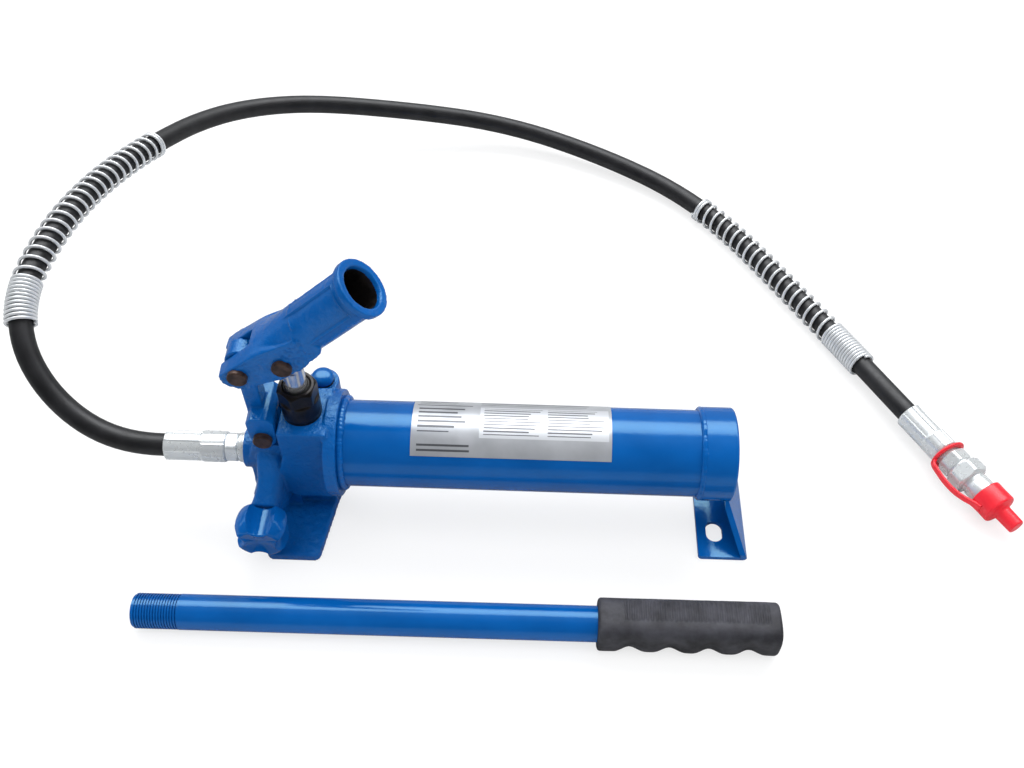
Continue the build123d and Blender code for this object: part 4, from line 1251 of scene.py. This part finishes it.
FLOOR_HALF = 6                             # metres
floor = mesh_from("studio_floor", [(-FLOOR_HALF, -FLOOR_HALF, 0), (FLOOR_HALF, -FLOOR_HALF, 0),
                                   (FLOOR_HALF, FLOOR_HALF, 0), (-FLOOR_HALF, FLOOR_HALF, 0)],
                  [(0, 1, 2, 3)], smooth=False)
set_material(floor, floor_material())

# what reflections see overhead: degrees from the zenith, positive to the back; brightness
SKY_STOPS = (
    (-180, 0.10), (-100, 0.10), (-80, 0.05), (-12, 0.06), (-6, 0.25), (10, 0.3), (15, 4.4),
    (30, 5.8), (47, 4.8), (54, 0.5), (85, 0.35), (110, 0.2), (180, 0.15),
)
SKY_TINT = (0.12, 0.1225, 0.125)


def studio_world():
    """Even light for diffuse rays, a band of softboxes for glossy ones."""
    world = bpy.data.worlds.new("studio_world")
    scene.world = world
    world.cycles.sampling_method = "NONE"
    world.use_nodes = True
    sky = Graph(world.node_tree)
    output = sky.node("ShaderNodeOutputWorld")
    even = sky.node("ShaderNodeBackground", {"Color": (0.95, 0.97, 1.0, 1), "Strength": 0.60})
    studio = sky.node("ShaderNodeBackground")
    direction = sky.node("ShaderNodeTexCoord").outputs["Generated"]
    split = sky.node("ShaderNodeSeparateXYZ", {0: direction}).outputs
    zenith_angle = sky.math("ARCTAN2", split[1], split[2])
    degrees = sky.math("MULTIPLY", zenith_angle, 180 / math.pi)
    turn_share = sky.math("DIVIDE", sky.math("ADD", degrees, 180.0), 360.0)
    stops = [((angle + 180) / 360, tuple(brightness * tint for tint in SKY_TINT))
             for angle, brightness in SKY_STOPS]
    sky.feed(studio.inputs["Color"], sky.ramp(turn_share, stops))
    # the softboxes end at the sides
    sideways = sky.math("ABSOLUTE", split[0])
    strength = sky.node("ShaderNodeMapRange", {
        "From Min": 0.46, "From Max": 0.66, "To Min": 8.0, "To Max": 1.8, "Value": sideways})
    sky.feed(studio.inputs["Strength"], strength.outputs["Result"])
    glossy = sky.node("ShaderNodeLightPath").outputs["Is Glossy Ray"]
    sky.feed(output.inputs["Surface"],
             sky.mix_shaders(glossy, even.outputs[0], studio.outputs[0]))


studio_world()

# area lights, metres and watts: name, place, target, width, depth, power
LIGHTS = (
    ("key_softbox", (0.25, 0.75, 1.25), (0.1, 0.05, 0.05), 1.6, 0.5, 16),
    ("top_softbox", (0.1, -0.2, 1.6), (0.1, 0.05, 0.0), 1.6, 0.9, 10),
    ("left_fill", (-1.3, -0.3, 0.8), (0.0, 0.0, 0.08), 0.7, 1.0, 6),
    ("right_fill", (1.4, -0.2, 0.9), (0.1, 0.0, 0.06), 0.7, 1.0, 5),
)
for light_name, place, target, light_width, light_depth, power in LIGHTS:
    light = bpy.data.lights.new(light_name, "AREA")
    light.shape = "RECTANGLE"
    light.size = light_width
    light.size_y = light_depth
    light.energy = power
    lamp = new_object(light_name, light)
    lamp.visible_glossy = False
    lamp.location = place
    lamp.rotation_euler = (Vector(target) - Vector(place)).to_track_quat("-Z", "Y").to_euler()

CAMERA_PLACE = Vector((0.1284, -0.3530, 0.5510))       # metres
camera_forward = Vector((-0.0203, 0.6286, -0.7775)).normalized()
camera_right = Vector((0.99935, 0.03621, 0.00318)).normalized()
camera_up = camera_right.cross(camera_forward).normalized()
camera_turn = Matrix((camera_right, camera_up, -camera_forward)).transposed().to_4x4()
camera = bpy.data.cameras.new("camera")
camera_object = new_object("camera", camera)
camera_object.matrix_world = Matrix.Translation(CAMERA_PLACE) @ camera_turn
camera.sensor_width = 36.0
camera.lens = 36.9140625
camera.clip_start = 0.01
scene.camera = camera_object
scene.view_settings.view_transform = "Standard"
